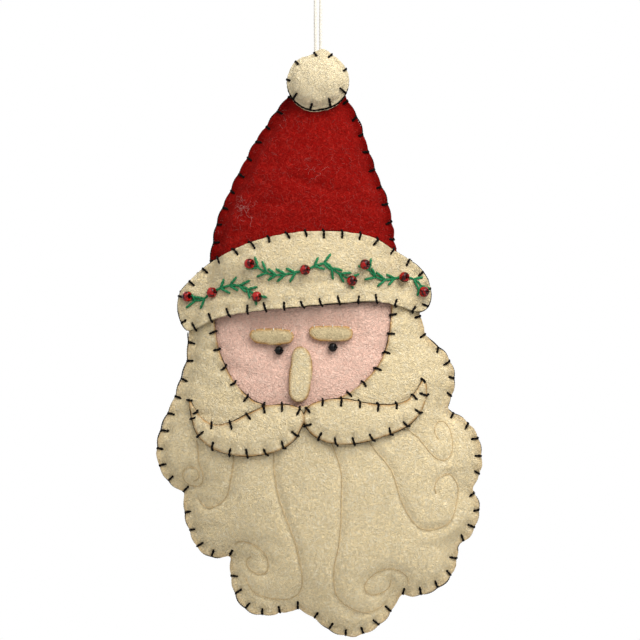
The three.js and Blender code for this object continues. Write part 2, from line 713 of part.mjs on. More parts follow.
const onSeam = ({ at }) => new THREE.Vector3(at.x, 0, at.y);
const clearOf = (line, gap) => ({ at }) => depthIn(at, line) < -gap;
const threadRoom = threadDiameter + 2 * touch;
const silhouetteRim = rim(silhouette, threadOffset);
const clearOfBand = clearOf(bandOutline, threadRoom + threadOffset);
const clearOfPompom = ({ at }) => at.distanceTo(pompomCentre) > pompomDiameter / 2 - flangeWidth;
const edgeRuns = {
  beard_edge_stitching: ({ at }) => at.y < 0,
  hat_stitching_left: ({ at }) => at.y > 0 && at.x < 0,
  hat_stitching_right: ({ at }) => at.y > 0 && at.x > 0,
};
Object.entries(edgeRuns).forEach(([name, isThere]) => {
  const isFree = (sample) => isThere(sample) && clearOfBand(sample) && clearOfPompom(sample);
  addSolid(name, stitches(longestRun(silhouetteRim, isFree), onSeam, edgeLeg), threadBlack);
});

// Stitches of a piece that lies on others: the thread lies on what is under its edge
function appliedStitches(run, face, base, pitch = stitchPitch) {
  const purlAt = ({ at }) => place(at, face, base, threadRadius);
  const legOf = ({ edge, out, at }) => {
    const inner = edge.clone().addScaledVector(out, -stitchReach);
    const top = betweenPoints(inner, at);
    const overTop = follow(top, (point) => place(point, face, base + feltThickness, threadOffset));
    return [...overTop, place(at, face, base, threadRadius)];
  };
  return stitches(run, purlAt, legOf, pitch);
}

const bandRun = rim(bandOutline, threadOffset).slice(2);
addSolid('hat_band_stitching_front', appliedStitches(bandRun, bandFront, 0), threadBlack);
addSolid('hat_band_stitching_back', appliedStitches(bandRun, bandBack, 0, backStitchPitch), threadBlack);

const nearMeet = ({ at }) => at.distanceTo(moustacheMeet) > threadRoom + threadOffset;
Object.entries(moustacheOutlines).forEach(([name, line]) => {
  const run = longestRun(rim(line, threadOffset), nearMeet);
  addSolid(`moustache_stitching_${name}`, appliedStitches(run, front, appliedLayer), threadBlack);
});

const windowLoop = [...windowOutline, ...overJoint(flangeWidth)];
const turned = ({ edge, out, at }) => ({ edge, out: out.clone().negate(), at });
const windowRim = rim(windowLoop, -threadOffset).map(turned);
const clearOfFaceTrim = (sample) => clearOfBand(sample)
  && clearOf(moustacheOutlines.left, threadRoom + threadOffset)(sample)
  && clearOf(moustacheOutlines.right, threadRoom + threadOffset)(sample);
const windowMiddle = noseFootShare * windowWidth;
const windowSides = { left: ({ at }) => at.x < windowMiddle, right: ({ at }) => at.x > windowMiddle };
Object.entries(windowSides).forEach(([name, isThere]) => {
  const run = longestRun(windowRim, (sample) => isThere(sample) && clearOfFaceTrim(sample));
  addSolid(`window_stitching_${name}`, appliedStitches(run, front, 0), threadBlack);
});

// Sprigs of feather stitch with glass berries sewn on top. Leaves point away from the middle berry.

const vineRadius = vineThreadDiameter / 2;
const leafDivisions = 4;
const leafSpread = Math.PI / 4;
const onBand = (point, height) => place(point, bandFront, feltThickness, height);
const onStem = (point) => onBand(point, touch + vineRadius);
let berryCount = 0;
Object.entries(vineShares).forEach(([name, shares]) => {
  const curve = flatCurve(shares, bandLength, bandRise);
  const line = flatLine(curve, leafPitch / leafDivisions);
  const middleIndex = Math.round(middleBerryShares[name] * (line.length - 1));
  const isKnot = (i) => i % leafDivisions === middleIndex % leafDivisions && i > 0 && i < line.length - 1;
  const knots = line.map((_, i) => i).filter(isKnot);
  const leaves = knots.filter((i) => i !== middleIndex).flatMap((i) => {
    const towards = i > middleIndex ? 1 : -1;
    const forward = line[i + 1].clone().sub(line[i - 1]).setLength(towards * leafLength);
    return [-leafSpread, leafSpread].map((turn) => {
      const tip = line[i].clone().add(forward.clone().rotateAround(new THREE.Vector2(), turn));
      return follow(betweenPoints(line[i], tip), onStem);
    });
  });
  const stem = follow(line, onStem, knots);
  addSolid(`vine_${name}`, joinTubes([stem, ...leaves], vineThreadDiameter), threadGreen);
  [0, middleIndex, line.length - 1].forEach((i) => {
    berryCount += 1;
    const centre = onBand(line[i], 2 * touch + vineThreadDiameter + berryBeadDiameter / 2);
    add(`berry_bead_${berryCount}`, bead(berryBeadDiameter, centre), glassRed);
  });
});

// Curls of thin thread on the beard; each starts where it comes out from under the moustache
const curlRadius = curlThreadDiameter / 2;
const curlClear = threadRoom + threadOffset + curlRadius;
curlShares.forEach((shares, i) => {
  const line = flatLine(flatCurve(shares, beardWidth, beardDrop), rimStep)
    .filter((point) => depthIn(point, moustacheOutlines.left) < -curlClear
      && depthIn(point, moustacheOutlines.right) < -curlClear);
  const route = follow(line, (point) => place(point, front, feltThickness, touch + curlRadius));
  add(`beard_curl_${i + 1}`, tube(route, curlThreadDiameter), threadTan);
});

// Pompom: two felt rounds with filling between them, sewn to the front of the hat's tip

const pompomRadius = pompomDiameter / 2;
function highestUnderPompom() {
  const under = sites.filter((site) => site.distanceTo(pompomCentre) < pompomRadius + ringStep);
  return Math.max(...under.map((site) => front.levels[sites.indexOf(site)]));
}
const pompomBack = highestUnderPompom() + feltThickness + touch;
const pompomSegments = 18;
const pompomRingShares = [1, 0.8, 0.5, 0.22, 0];
const pompomFullness = 0.6;

// A round about the pompom's axis, from its profile of radius and distance in front of the pompom's back
function pompomRound(profile) {
  const points = profile.map(([radius, out]) => new THREE.Vector2(radius, out));
  return new THREE.LatheGeometry(points, pompomSegments)
    .rotateX(Math.PI)
    .translate(0, -pompomBack, pompomCentre.y);
}

const pompomDome = (radius, lift, crown) => pompomRingShares.map((share) => [
  share * radius, lift + crown * (1 - share ** 2) ** pompomFullness,
]);
const puffRadius = pompomRadius - pompomFlange;
const frontRound = feltThickness + touch;
const flatRound = [[0, 0], [pompomRadius, 0], [pompomRadius, feltThickness], [0, feltThickness]];
add('pompom_back', pompomRound(flatRound), feltCream);
const pompomFilling = [[0, frontRound], ...pompomDome(puffRadius - touch, frontRound, pompomCrown - touch)];
add('pompom_stuffing', pompomRound(pompomFilling), fibreWhite);
const innerRound = pompomDome(puffRadius, frontRound, pompomCrown).reverse();
const outerRound = pompomDome(puffRadius, frontRound + feltThickness, pompomCrown);
add('pompom_front', pompomRound([
  ...innerRound, [pompomRadius, frontRound], [pompomRadius, frontRound + feltThickness], ...outerRound,
]), feltCream);

const pompomEdge = Array.from({ length: 2 * pompomSegments }, (_, i) => {
  const turn = (i / (2 * pompomSegments)) * 2 * Math.PI;
  const out = new THREE.Vector2(Math.cos(turn), Math.sin(turn));
  return { out, at: pompomCentre.clone().addScaledVector(out, pompomRadius + threadOffset) };
}).slice(1);
const pompomSeam = -pompomBack - frontRound + touch / 2;
const pompomFace = -pompomBack - frontRound - feltThickness - threadOffset;
const pompomStitches = stitches(
  pompomEdge,
  ({ at }) => new THREE.Vector3(at.x, pompomSeam, at.y),
  ({ out, at }) => {
    const inner = pompomCentre.clone().addScaledVector(out, pompomRadius - pompomFlange + threadOffset);
    return [
      new THREE.Vector3(inner.x, pompomFace, inner.y),
      new THREE.Vector3(at.x, pompomFace, at.y),
      new THREE.Vector3(at.x, pompomSeam, at.y),
    ];
  },
);
addSolid('pompom_stitching', pompomStitches, threadBlack);

// Hanging loop: both strands leave the mouth between the hat's two felts; their tails are knotted inside

const cordSides = 8;
const mouth = hatHeight + touch;
function loopCurve() {
  const rightHalf = loopRoute.map(([across, up]) => new THREE.Vector3(across, 0, mouth + up));
  const leftHalf = loopRoute.map(([across, up]) => new THREE.Vector3(-across, 0, mouth + up)).reverse();
  const top = new THREE.Vector3(0, 0, mouth + loopRise);
  return new THREE.CatmullRomCurve3([...rightHalf, top, ...leftHalf]);
}
const loopLine = loopCurve().getSpacedPoints(cordSteps);
add('hanging_loop', tube(loopLine, cordDiameter, { sides: cordSides }), cordWhite);

const tails = [-1, 1].map((hand) => [0, -tailLength / 2, -tailLength].map((down) => (
  new THREE.Vector3(hand * strandSpacing / 2, 0, hatHeight - touch + down))));
const knotShape = new THREE.SphereGeometry(knotWidth / 2, cordSides, cordSides / 2)
  .scale(1, cordDiameter / knotWidth, 1)
  .translate(0, 0, hatHeight - touch - tailLength);
const tailSolids = tails.map((line) => solid(tube(line, cordDiameter, { sides: cordSides })));
addSolid('loop_tails', wasm.Manifold.union([...tailSolids, solid(knotShape)]), cordWhite);

export default ornament;
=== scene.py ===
"""A stuffed wool felt ornament: a bearded winter head in a tall hat, sewn by hand, on a loop of cord."""
import math
import random
from collections import namedtuple
from functools import lru_cache

import bmesh
import bpy
import numpy as np
from bpy.props import FloatProperty, FloatVectorProperty, PointerProperty
from mathutils import Euler, Matrix, Vector, noise
from mathutils.bvhtree import BVHTree
from mathutils.geometry import interpolate_bezier


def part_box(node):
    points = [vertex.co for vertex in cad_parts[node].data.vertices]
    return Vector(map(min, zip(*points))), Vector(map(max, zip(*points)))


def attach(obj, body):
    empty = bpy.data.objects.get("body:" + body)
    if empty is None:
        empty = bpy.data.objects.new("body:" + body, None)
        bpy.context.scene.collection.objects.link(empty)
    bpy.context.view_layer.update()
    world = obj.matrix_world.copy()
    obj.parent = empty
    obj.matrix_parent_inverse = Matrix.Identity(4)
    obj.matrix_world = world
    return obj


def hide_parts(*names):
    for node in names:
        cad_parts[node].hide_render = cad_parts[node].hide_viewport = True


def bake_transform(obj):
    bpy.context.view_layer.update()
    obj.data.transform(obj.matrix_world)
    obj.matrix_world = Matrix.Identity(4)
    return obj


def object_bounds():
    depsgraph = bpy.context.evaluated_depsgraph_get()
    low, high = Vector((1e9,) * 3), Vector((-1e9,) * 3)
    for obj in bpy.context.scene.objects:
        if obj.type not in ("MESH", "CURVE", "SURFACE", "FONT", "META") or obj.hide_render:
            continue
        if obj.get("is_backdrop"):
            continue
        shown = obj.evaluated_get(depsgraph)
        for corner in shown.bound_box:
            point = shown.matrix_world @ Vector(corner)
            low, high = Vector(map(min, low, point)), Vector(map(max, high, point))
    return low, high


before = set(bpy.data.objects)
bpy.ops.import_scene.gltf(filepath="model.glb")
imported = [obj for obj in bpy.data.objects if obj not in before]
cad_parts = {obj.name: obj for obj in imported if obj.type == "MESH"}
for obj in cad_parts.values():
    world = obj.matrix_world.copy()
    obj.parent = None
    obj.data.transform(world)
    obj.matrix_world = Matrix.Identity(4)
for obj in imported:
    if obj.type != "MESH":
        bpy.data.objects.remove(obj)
cad_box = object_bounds()

bl_info = {
    "name": "Felt ornament",
    "version": (1, 0, 0),
    "blender": (4, 5, 0),
    "location": "3D View > Sidebar > Ornament",
    "description": "A stuffed felt head in a tall hat, sewn by hand and hung on a loop of cord",
    "category": "Object",
}

# Sizes in metres. X runs to the right, the face looks along -Y and Z is up. The origin is the inside top of
# the hanging loop, and JOINT_LINE is the height at which hat and beard meet under the band. The nose's seat
# is its height over the window's foot, and the moustache's is how far below that foot its halves meet. A
# brow's lift is the height of its foot over the nose's top.
JOINT_LINE = -0.11865
HAT_SIZE = (0.0517, 0.0564)
BEARD_SIZE = (0.0848, 0.0915)
BAND_SIZE = (0.0659, 0.0258)
WINDOW_SIZE = (0.0456, 0.0312)
MOUSTACHE_SIZES = {"left": (0.03, 0.0151), "right": (0.0318, 0.0169)}
MOUSTACHE_SEAT = 0.0036
NOSE_SIZE = (0.0061, 0.0143)
NOSE_SEAT = 0.0011
BROW_SIZE = (0.0116, 0.0042)
BROW_LIFTS = {"left": 0.0003, "right": 0.0011}
POMPOM_BELOW_TIP = 0.0034
TAIL_LENGTH = 0.009
PANEL_LAP = 0.003

# Outlines, as shares of a piece's own width and height, seen from the front
HAT_SHARES = (
    (-0.578, 0), (-0.538, 0.152), (-0.51, 0.29), (-0.458, 0.41), (-0.387, 0.544), (-0.307, 0.678),
    (-0.221, 0.788), (-0.156, 0.867), (-0.085, 0.963), (0, 1), (0.08, 0.963), (0.151, 0.857), (0.211, 0.747),
    (0.262, 0.609), (0.307, 0.493), (0.35, 0.392), (0.377, 0.29), (0.397, 0.152), (0.422, 0),
)
BEARD_LOBE_SHARES = (
    ((-0.374, 0), (-0.392, -0.077), (-0.399, -0.156)),
    ((-0.399, -0.156), (-0.405, -0.216), (-0.438, -0.307), (-0.484, -0.412), (-0.497, -0.475),
     (-0.484, -0.526), (-0.454, -0.563), (-0.411, -0.591)),
    ((-0.411, -0.591), (-0.411, -0.645), (-0.396, -0.699), (-0.368, -0.75), (-0.322, -0.774),
     (-0.268, -0.77)),
    ((-0.268, -0.77), (-0.271, -0.818), (-0.254, -0.881), (-0.215, -0.926), (-0.159, -0.939),
     (-0.055, -0.921)),
    ((-0.055, -0.921), (-0.006, -0.952), (0.046, -0.986), (0.101, -1), (0.163, -0.983), (0.212, -0.946),
     (0.254, -0.881)),
    ((0.254, -0.881), (0.304, -0.884), (0.368, -0.861), (0.411, -0.824), (0.429, -0.776), (0.428, -0.739)),
    ((0.428, -0.739), (0.463, -0.719), (0.489, -0.673), (0.497, -0.628), (0.475, -0.574)),
    ((0.475, -0.574), (0.498, -0.537), (0.504, -0.489), (0.491, -0.426), (0.454, -0.382), (0.396, -0.35)),
    ((0.396, -0.35), (0.417, -0.301), (0.419, -0.247), (0.396, -0.196), (0.337, -0.145), (0.316, -0.08),
     (0.297, 0)),
)
BAND_SHARES = (
    (-0.554, -0.202), (-0.544, -0.071), (-0.517, 0.013), (-0.462, 0.151), (-0.38, 0.292), (-0.251, 0.438),
    (-0.105, 0.52), (0.055, 0.537), (0.208, 0.485), (0.299, 0.353), (0.388, 0.204), (0.432, 0.06),
    (0.447, -0.109), (0.43, -0.232), (0.398, -0.275), (0.313, -0.212), (0.235, -0.174), (0.082, -0.186),
    (-0.099, -0.23), (-0.258, -0.272), (-0.4, -0.343), (-0.482, -0.447), (-0.517, -0.459), (-0.543, -0.353),
)
WINDOW_SHARES = (
    (-0.587, 0), (-0.584, -0.3), (-0.573, -0.458), (-0.53, -0.656), (-0.45, -0.842), (-0.363, -0.958),
    (-0.262, -0.996), (-0.088, -1), (0.089, -0.942), (0.182, -0.883), (0.314, -0.713), (0.379, -0.542),
    (0.411, -0.292), (0.413, 0),
)
MOUSTACHE_SHARES = {
    "left": (
        (0.009, 0.017), (-0.028, 0.189), (-0.154, 0.267), (-0.324, 0.241), (-0.48, 0.107), (-0.637, -0.041),
        (-0.787, -0.069), (-0.891, 0.062), (-0.96, 0.258), (-0.995, 0.374), (-0.969, 0.017), (-0.92, -0.263),
        (-0.831, -0.443), (-0.712, -0.56), (-0.544, -0.625), (-0.362, -0.603), (-0.206, -0.517),
        (-0.085, -0.353), (-0.025, -0.155)),
    "right": (
        (-0.006, 0.015), (0.044, 0.223), (0.173, 0.308), (0.337, 0.323), (0.525, 0.254), (0.737, 0.242),
        (0.844, 0.308), (0.917, 0.462), (0.975, 0.625), (1.004, 0.477), (0.983, 0.231), (0.92, 0.031),
        (0.836, -0.103), (0.723, -0.209), (0.596, -0.289), (0.455, -0.354), (0.286, -0.374), (0.145, -0.315),
        (0.047, -0.183)),
}
BROW_SHARES = (
    (-0.5, 0.1), (-0.45, 0.4), (-0.22, 0.5), (0.18, 0.5), (0.42, 0.4), (0.5, 0.06), (0.44, -0.36),
    (0.22, -0.5), (-0.1, -0.5), (-0.36, -0.38), (-0.47, -0.14),
)
NOSE_SHARES = (
    (-0.34, 0.9), (-0.41, 0.74), (-0.48, 0.52), (-0.52, 0.33), (-0.51, 0.17), (-0.43, 0.07), (-0.29, 0.005),
    (-0.1, -0.02), (0.09, 0), (0.26, 0.05), (0.37, 0.15), (0.44, 0.33), (0.52, 0.53), (0.48, 0.75),
    (0.4, 0.87), (0.22, 0.96), (0, 1), (-0.2, 0.98),
)
POMPOM_SHARES = (
    (1.01, 0), (0.97, 0.22), (0.85, 0.45), (0.63, 0.69), (0.42, 0.84), (0.28, 0.96), (0.12, 1.0),
    (-0.05, 0.93), (-0.2, 0.82), (-0.53, 0.72), (-0.78, 0.54), (-0.94, 0.24), (-1.01, -0.02), (-0.98, -0.24),
    (-0.9, -0.44), (-0.72, -0.68), (-0.46, -0.87), (-0.17, -0.95), (0.15, -0.92), (0.45, -0.83),
    (0.69, -0.68), (0.87, -0.46), (0.97, -0.22),
)

# Places on the face, as shares of the window's width
NOSE_FOOT_SHARE = -0.109
NOSE_PLACE_SHARE = -0.098
BROW_PLACE_SHARES = {"left": -0.262, "right": 0.073}
EYE_PLACE_SHARES = {"left": -0.22, "right": 0.084}
MOUSTACHE_MEET_SHARE = -0.08

# Sprigs on the band, as shares of its length and rise, and which point of each its middle berry sits on
SPRIG_SHARES = {
    "left": ((-0.515, -0.116), (-0.489, -0.151), (-0.455, -0.151), (-0.414, -0.071), (-0.339, -0.005),
             (-0.284, -0.03), (-0.239, -0.121)),
    "middle": ((-0.268, 0.209), (-0.245, 0.186), (-0.183, 0.101), (-0.108, 0.111), (-0.051, 0.146),
               (0.034, 0.212), (0.063, 0.141), (0.133, 0.04)),
    "right": ((0.184, 0.202), (0.225, 0.081), (0.264, 0.05), (0.34, 0.078), (0.391, 0.04), (0.418, -0.069)),
}
SPRIG_MIDDLE_POINTS = {"left": 3, "middle": 4, "right": 3}

# Embroidered curls of the beard, as shares of the beard's width and drop, with the length of their stitches
CURL_STITCH = 0.0026
CURL_STITCH_POINTS = 8
CURL_SHARES = (
    ((-0.37, -0.44), (-0.365, -0.475), (-0.364, -0.5), (-0.354, -0.526), (-0.351, -0.548),
     (-0.358, -0.566), (-0.374, -0.571), (-0.394, -0.567), (-0.41, -0.553), (-0.414, -0.535),
     (-0.405, -0.521), (-0.386, -0.516), (-0.37, -0.522), (-0.362, -0.536), (-0.368, -0.55),
     (-0.381, -0.556)),
    ((-0.25, -0.43), (-0.256, -0.47), (-0.26, -0.524), (-0.267, -0.556), (-0.276, -0.592), (-0.293, -0.614),
     (-0.316, -0.627), (-0.336, -0.631), (-0.354, -0.62), (-0.366, -0.605)),
    ((-0.133, -0.43), (-0.133, -0.526), (-0.116, -0.608), (-0.082, -0.696), (-0.067, -0.735),
     (-0.058, -0.775), (-0.05, -0.812), (-0.05, -0.854), (-0.064, -0.878), (-0.092, -0.891),
     (-0.128, -0.891), (-0.166, -0.884), (-0.192, -0.874), (-0.209, -0.856), (-0.221, -0.832)),
    ((-0.255, -0.735), (-0.239, -0.727), (-0.214, -0.729), (-0.19, -0.74), (-0.17, -0.753), (-0.157, -0.77),
     (-0.152, -0.793), (-0.16, -0.814), (-0.182, -0.819), (-0.205, -0.809), (-0.218, -0.794),
     (-0.216, -0.777), (-0.204, -0.769)),
    ((0.035, -0.43), (0.069, -0.523), (0.071, -0.605), (0.065, -0.725), (0.048, -0.807), (0.055, -0.875),
     (0.075, -0.9), (0.098, -0.914), (0.12, -0.924), (0.142, -0.929), (0.165, -0.926), (0.186, -0.917),
     (0.203, -0.905)),
    ((0.277, -0.847), (0.273, -0.83), (0.259, -0.815), (0.239, -0.806), (0.215, -0.803), (0.19, -0.808),
     (0.168, -0.82), (0.15, -0.836), (0.142, -0.852), (0.148, -0.868), (0.166, -0.878), (0.189, -0.874),
     (0.209, -0.864), (0.221, -0.85), (0.223, -0.833)),
    ((0.14, -0.42), (0.166, -0.457), (0.222, -0.523), (0.257, -0.618), (0.299, -0.679), (0.334, -0.693),
     (0.401, -0.673), (0.424, -0.615), (0.428, -0.575), (0.416, -0.549), (0.4, -0.536), (0.379, -0.54),
     (0.363, -0.552), (0.356, -0.57), (0.36, -0.59)),
    ((0.25, -0.38), (0.279, -0.412), (0.304, -0.431), (0.325, -0.455), (0.347, -0.479), (0.365, -0.492),
     (0.385, -0.496), (0.402, -0.486), (0.411, -0.462), (0.41, -0.434), (0.403, -0.409), (0.388, -0.39),
     (0.371, -0.386), (0.358, -0.4), (0.358, -0.421), (0.367, -0.436)),
)

# Half of the hanging loop's route above the hat's tip: half the width there and the height
LOOP_TOP = (0, 0.0624)
LOOP_ROUTE = (
    (0.00065, 0), (0.00065, 0.004), (0.00066, 0.008), (0.00068, 0.012), (0.0007, 0.017), (0.0008, 0.023),
    (0.00098, 0.029), (0.00125, 0.035), (0.0016, 0.041), (0.002, 0.047), (0.00235, 0.052), (0.00256, 0.056),
    (0.0025, 0.059), (0.00195, 0.0611), (0.001, 0.06215),
)
LOOP_EXIT = (0, 0, -0.06195)

# How finely lines, felt and the stuffed form are divided
CURVE_STEPS = 12
LINE_STEP = 0.0006
COARSE_STEP = 0.0015
GRID_STEP = 0.0008
FELT_VOXEL = 0.00052
CHUNK = 1500

# The room that pieces leave each other, and how near to its whole offset a moved line has to keep
GAP = 0.0001
NEAR_SHARE = 0.93

FRONT = -1
BACK = 1
FACES = {"front": FRONT, "back": BACK}
SIDES = ("left", "right")
BODY = "ornament"
LOOP_BODY = "loop"


class FeltSettings(bpy.types.PropertyGroup):
    """The felt and its filling"""

    thickness: FloatProperty(
        name="Felt thickness", description="How thick the wool felt is", default=0.0011, unit="LENGTH")
    front_crown: FloatProperty(
        name="Front crown", description="How far the filling lifts the front", default=0.0115, unit="LENGTH")
    back_crown: FloatProperty(
        name="Back crown", description="How far the filling lifts the back", default=0.01, unit="LENGTH")
    flange: FloatProperty(
        name="Flange", description="Flat edge outside the filling", default=0.0025, unit="LENGTH")
    pompom_diameter: FloatProperty(
        name="Pompom", description="Diameter of the pompom", default=0.0162, unit="LENGTH")
    pompom_crown: FloatProperty(
        name="Pompom crown", description="How far the pompom bulges", default=0.0036, unit="LENGTH")
    cream: FloatVectorProperty(
        name="Cream", description="Felt of beard, band and pompom", default=(0.81, 0.65, 0.375),
        subtype="COLOR")
    red: FloatVectorProperty(
        name="Red", description="Felt of the hat", default=(0.25, 0.0028, 0.0016), subtype="COLOR")
    pink: FloatVectorProperty(
        name="Pink", description="Felt of the face", default=(0.89, 0.56, 0.44), subtype="COLOR")
    # Also the colour of the painted shade along the beard's outer rim
    singe_and_shade: FloatVectorProperty(
        name="Singed edge", description="Browned edge of the appliques", default=(0.42, 0.2, 0.04),
        subtype="COLOR")


class SewingSettings(bpy.types.PropertyGroup):
    """Blanket stitches"""

    diameter: FloatProperty(
        name="Leg thread", description="Diameter of the black thread in the legs", default=0.0007,
        unit="LENGTH")
    run_diameter: FloatProperty(
        name="Edge thread", description="Diameter of the black thread drawn tight along the edges",
        default=0.0004, unit="LENGTH")
    pitch: FloatProperty(
        name="Stitch pitch", description="Distance between stitches", default=0.0047, unit="LENGTH")
    back_pitch: FloatProperty(
        name="Back pitch", description="Distance between stitches on the back of the band", default=0.0066,
        unit="LENGTH")
    reach: FloatProperty(
        name="Reach", description="How far a stitch reaches over the felt", default=0.0017, unit="LENGTH")
    black: FloatVectorProperty(
        name="Black", description="Black thread", default=(0.0045, 0.0035, 0.003), subtype="COLOR")


class TrimSettings(bpy.types.PropertyGroup):
    """Sprigs, berries, eyes and curls"""

    berry: FloatProperty(
        name="Berry", description="Diameter of the berry beads", default=0.0027, unit="LENGTH")
    eye: FloatProperty(
        name="Eye", description="Diameter of the eye beads", default=0.0023, unit="LENGTH")
    bore: FloatProperty(
        name="Bore", description="Bore of the beads", default=0.0008, unit="LENGTH")
    leaf: FloatProperty(
        name="Leaf", description="Length of a leaf stitch", default=0.0029, unit="LENGTH")
    leaf_pitch: FloatProperty(
        name="Leaf pitch", description="Distance between pairs of leaves", default=0.0025, unit="LENGTH")
    vine_diameter: FloatProperty(
        name="Green thread", description="Diameter of the green thread", default=0.00072, unit="LENGTH")
    curl_diameter: FloatProperty(
        name="Tan thread", description="Diameter of the tan thread", default=0.00034, unit="LENGTH")
    green: FloatVectorProperty(
        name="Green", description="Green thread", default=(0.012, 0.15, 0.055), subtype="COLOR")
    tan: FloatVectorProperty(
        name="Tan", description="Tan thread", default=(0.5, 0.37, 0.195), subtype="COLOR")
    berry_red: FloatVectorProperty(
        name="Berry red", description="Glass of the berries", default=(0.156, 0.00312, 0.00234),
        subtype="COLOR")
    eye_black: FloatVectorProperty(
        name="Eye black", description="Glass of the eyes", default=(0.003, 0.003, 0.003), subtype="COLOR")


class CordSettings(bpy.types.PropertyGroup):
    """The hanging loop"""

    diameter: FloatProperty(
        name="Cord", description="Diameter of the cord", default=0.0009, unit="LENGTH")
    white: FloatVectorProperty(
        name="Off-white", description="Cotton cord", default=(0.8, 0.76, 0.67), subtype="COLOR")


class StageSettings(bpy.types.PropertyGroup):
    """Camera, lights and floor"""

    camera_distance: FloatProperty(
        name="Camera distance", description="From the seam to the camera", default=1.2, unit="LENGTH")
    frame_width: FloatProperty(
        name="Frame width", description="Width that the picture covers", default=0.1664, unit="LENGTH")
    key_power: FloatProperty(
        name="Key light", description="Power of the soft light from the right", default=7.4, unit="POWER")
    fill_power: FloatProperty(
        name="Fill light", description="Power of the soft light from the left", default=2.1, unit="POWER")
    back_power: FloatProperty(
        name="Back light", description="Power of the soft light behind", default=3, unit="POWER")
    sky: FloatProperty(
        name="Sky", description="Strength of the even light", default=0.5)


# Lines


def divided(points, step, closed=False):
    """A line of points, divided evenly"""
    line = np.asarray(points, dtype=float)
    if closed:
        line = np.vstack([line, line[:1]])
    travelled = np.concatenate([[0], np.cumsum(np.linalg.norm(np.diff(line, axis=0), axis=1))])
    parts = max(2, round(travelled[-1] / step))
    stops = np.linspace(0, travelled[-1], parts + 1)
    even = np.stack([np.interp(stops, travelled, values) for values in line.T], axis=1)
    return even[:-1] if closed else even


def smooth_line(points, step=LINE_STEP, closed=False):
    """A smooth line through given points, divided evenly"""
    size = len(points[0])
    knots = [Vector(point).to_3d() for point in points]
    if closed:
        knots = [knots[-1], *knots, knots[0], knots[1]]
    else:
        knots = [2 * knots[0] - knots[1], *knots, 2 * knots[-1] - knots[-2]]
    fine = []
    for before, start, end, after in zip(knots, knots[1:], knots[2:], knots[3:]):
        first = math.sqrt((start - before).length)
        middle = math.sqrt((end - start).length)
        last = math.sqrt((after - end).length)
        leave = (start - before) / first - (end - before) / (first + middle) + (end - start) / middle
        arrive = (end - start) / middle - (after - start) / (middle + last) + (after - end) / last
        leave *= middle / 3
        arrive *= middle / 3
        fine += interpolate_bezier(start, start + leave, end - arrive, end, CURVE_STEPS)[:-1]
    if not closed:
        fine.append(knots[-2])
    return divided([tuple(point)[:size] for point in fine], step, closed)


def on_face(shares, size, centre=(0, 0)):
    """Places on the face from shares of a piece's size, measured from a centre on the joint line"""
    width, height = size
    across, up = centre
    return [(across + share * width, JOINT_LINE + up + rise * height) for share, rise in shares]


def depth_in(places, line):
    """How deep places lie inside a closed line, negative outside it"""
    start = np.asarray(line)
    end = np.roll(start, -1, axis=0)
    run = end - start
    squared = (run ** 2).sum(axis=1)
    rise = np.where(run[:, 1] == 0, GAP * GAP, run[:, 1])
    depth = np.empty(len(places))
    for first in range(0, len(places), CHUNK):
        part = places[first:first + CHUNK, None]
        share = np.clip(((part - start) * run).sum(axis=2) / squared, 0, 1)
        nearest = np.linalg.norm(part - start - share[..., None] * run, axis=2).min(axis=1)
        crosses = (end[:, 1] > part[..., 1]) != (start[:, 1] > part[..., 1])
        reach = run[:, 0] * (part[..., 1] - start[:, 1]) / rise + start[:, 0]
        inside = (crosses & (part[..., 0] < reach)).sum(axis=1) % 2 == 1
        depth[first:first + CHUNK] = np.where(inside, nearest, -nearest)
    return depth


Rim = namedtuple("Rim", "edge out at")


def picked(rim, chosen):
    """The chosen samples of a rim"""
    return Rim(*(values[chosen] for values in rim))


def rim_of(line, offset):
    """Samples of a closed line: on its edge, its outward direction, and moved out by an offset"""
    edge = divided(line, LINE_STEP, closed=True)
    ahead = np.roll(edge, -1, axis=0)
    along = ahead - np.roll(edge, 1, axis=0)
    along /= np.linalg.norm(along, axis=1)[:, None]
    turn = np.sign((edge[:, 0] * ahead[:, 1] - ahead[:, 0] * edge[:, 1]).sum())
    out = turn * np.stack([along[:, 1], -along[:, 0]], axis=1)
    at = edge + offset * out
    clear = np.abs(depth_in(at, line)) > NEAR_SHARE * abs(offset)
    return picked(Rim(edge, out, at), clear)


def longest_run(rim, kept):
    """The longest unbroken run of a closed rim's samples that are kept"""
    if kept.all():
        return rim
    count = len(kept)
    best = []
    for first in np.flatnonzero(kept & ~np.roll(kept, 1)):
        run = [first]
        while kept[(run[-1] + 1) % count]:
            run.append((run[-1] + 1) % count)
        best = max(best, run, key=len)
    return picked(rim, best)


def every_pitch(line, pitch, start):
    """Which samples of a line lie a pitch apart"""
    chosen = []
    travelled = pitch - start
    for i, point in enumerate(line):
        travelled += np.linalg.norm(point - line[i - 1]) if i else 0
        if travelled >= pitch:
            chosen.append(i)
            travelled = 0
    return chosen


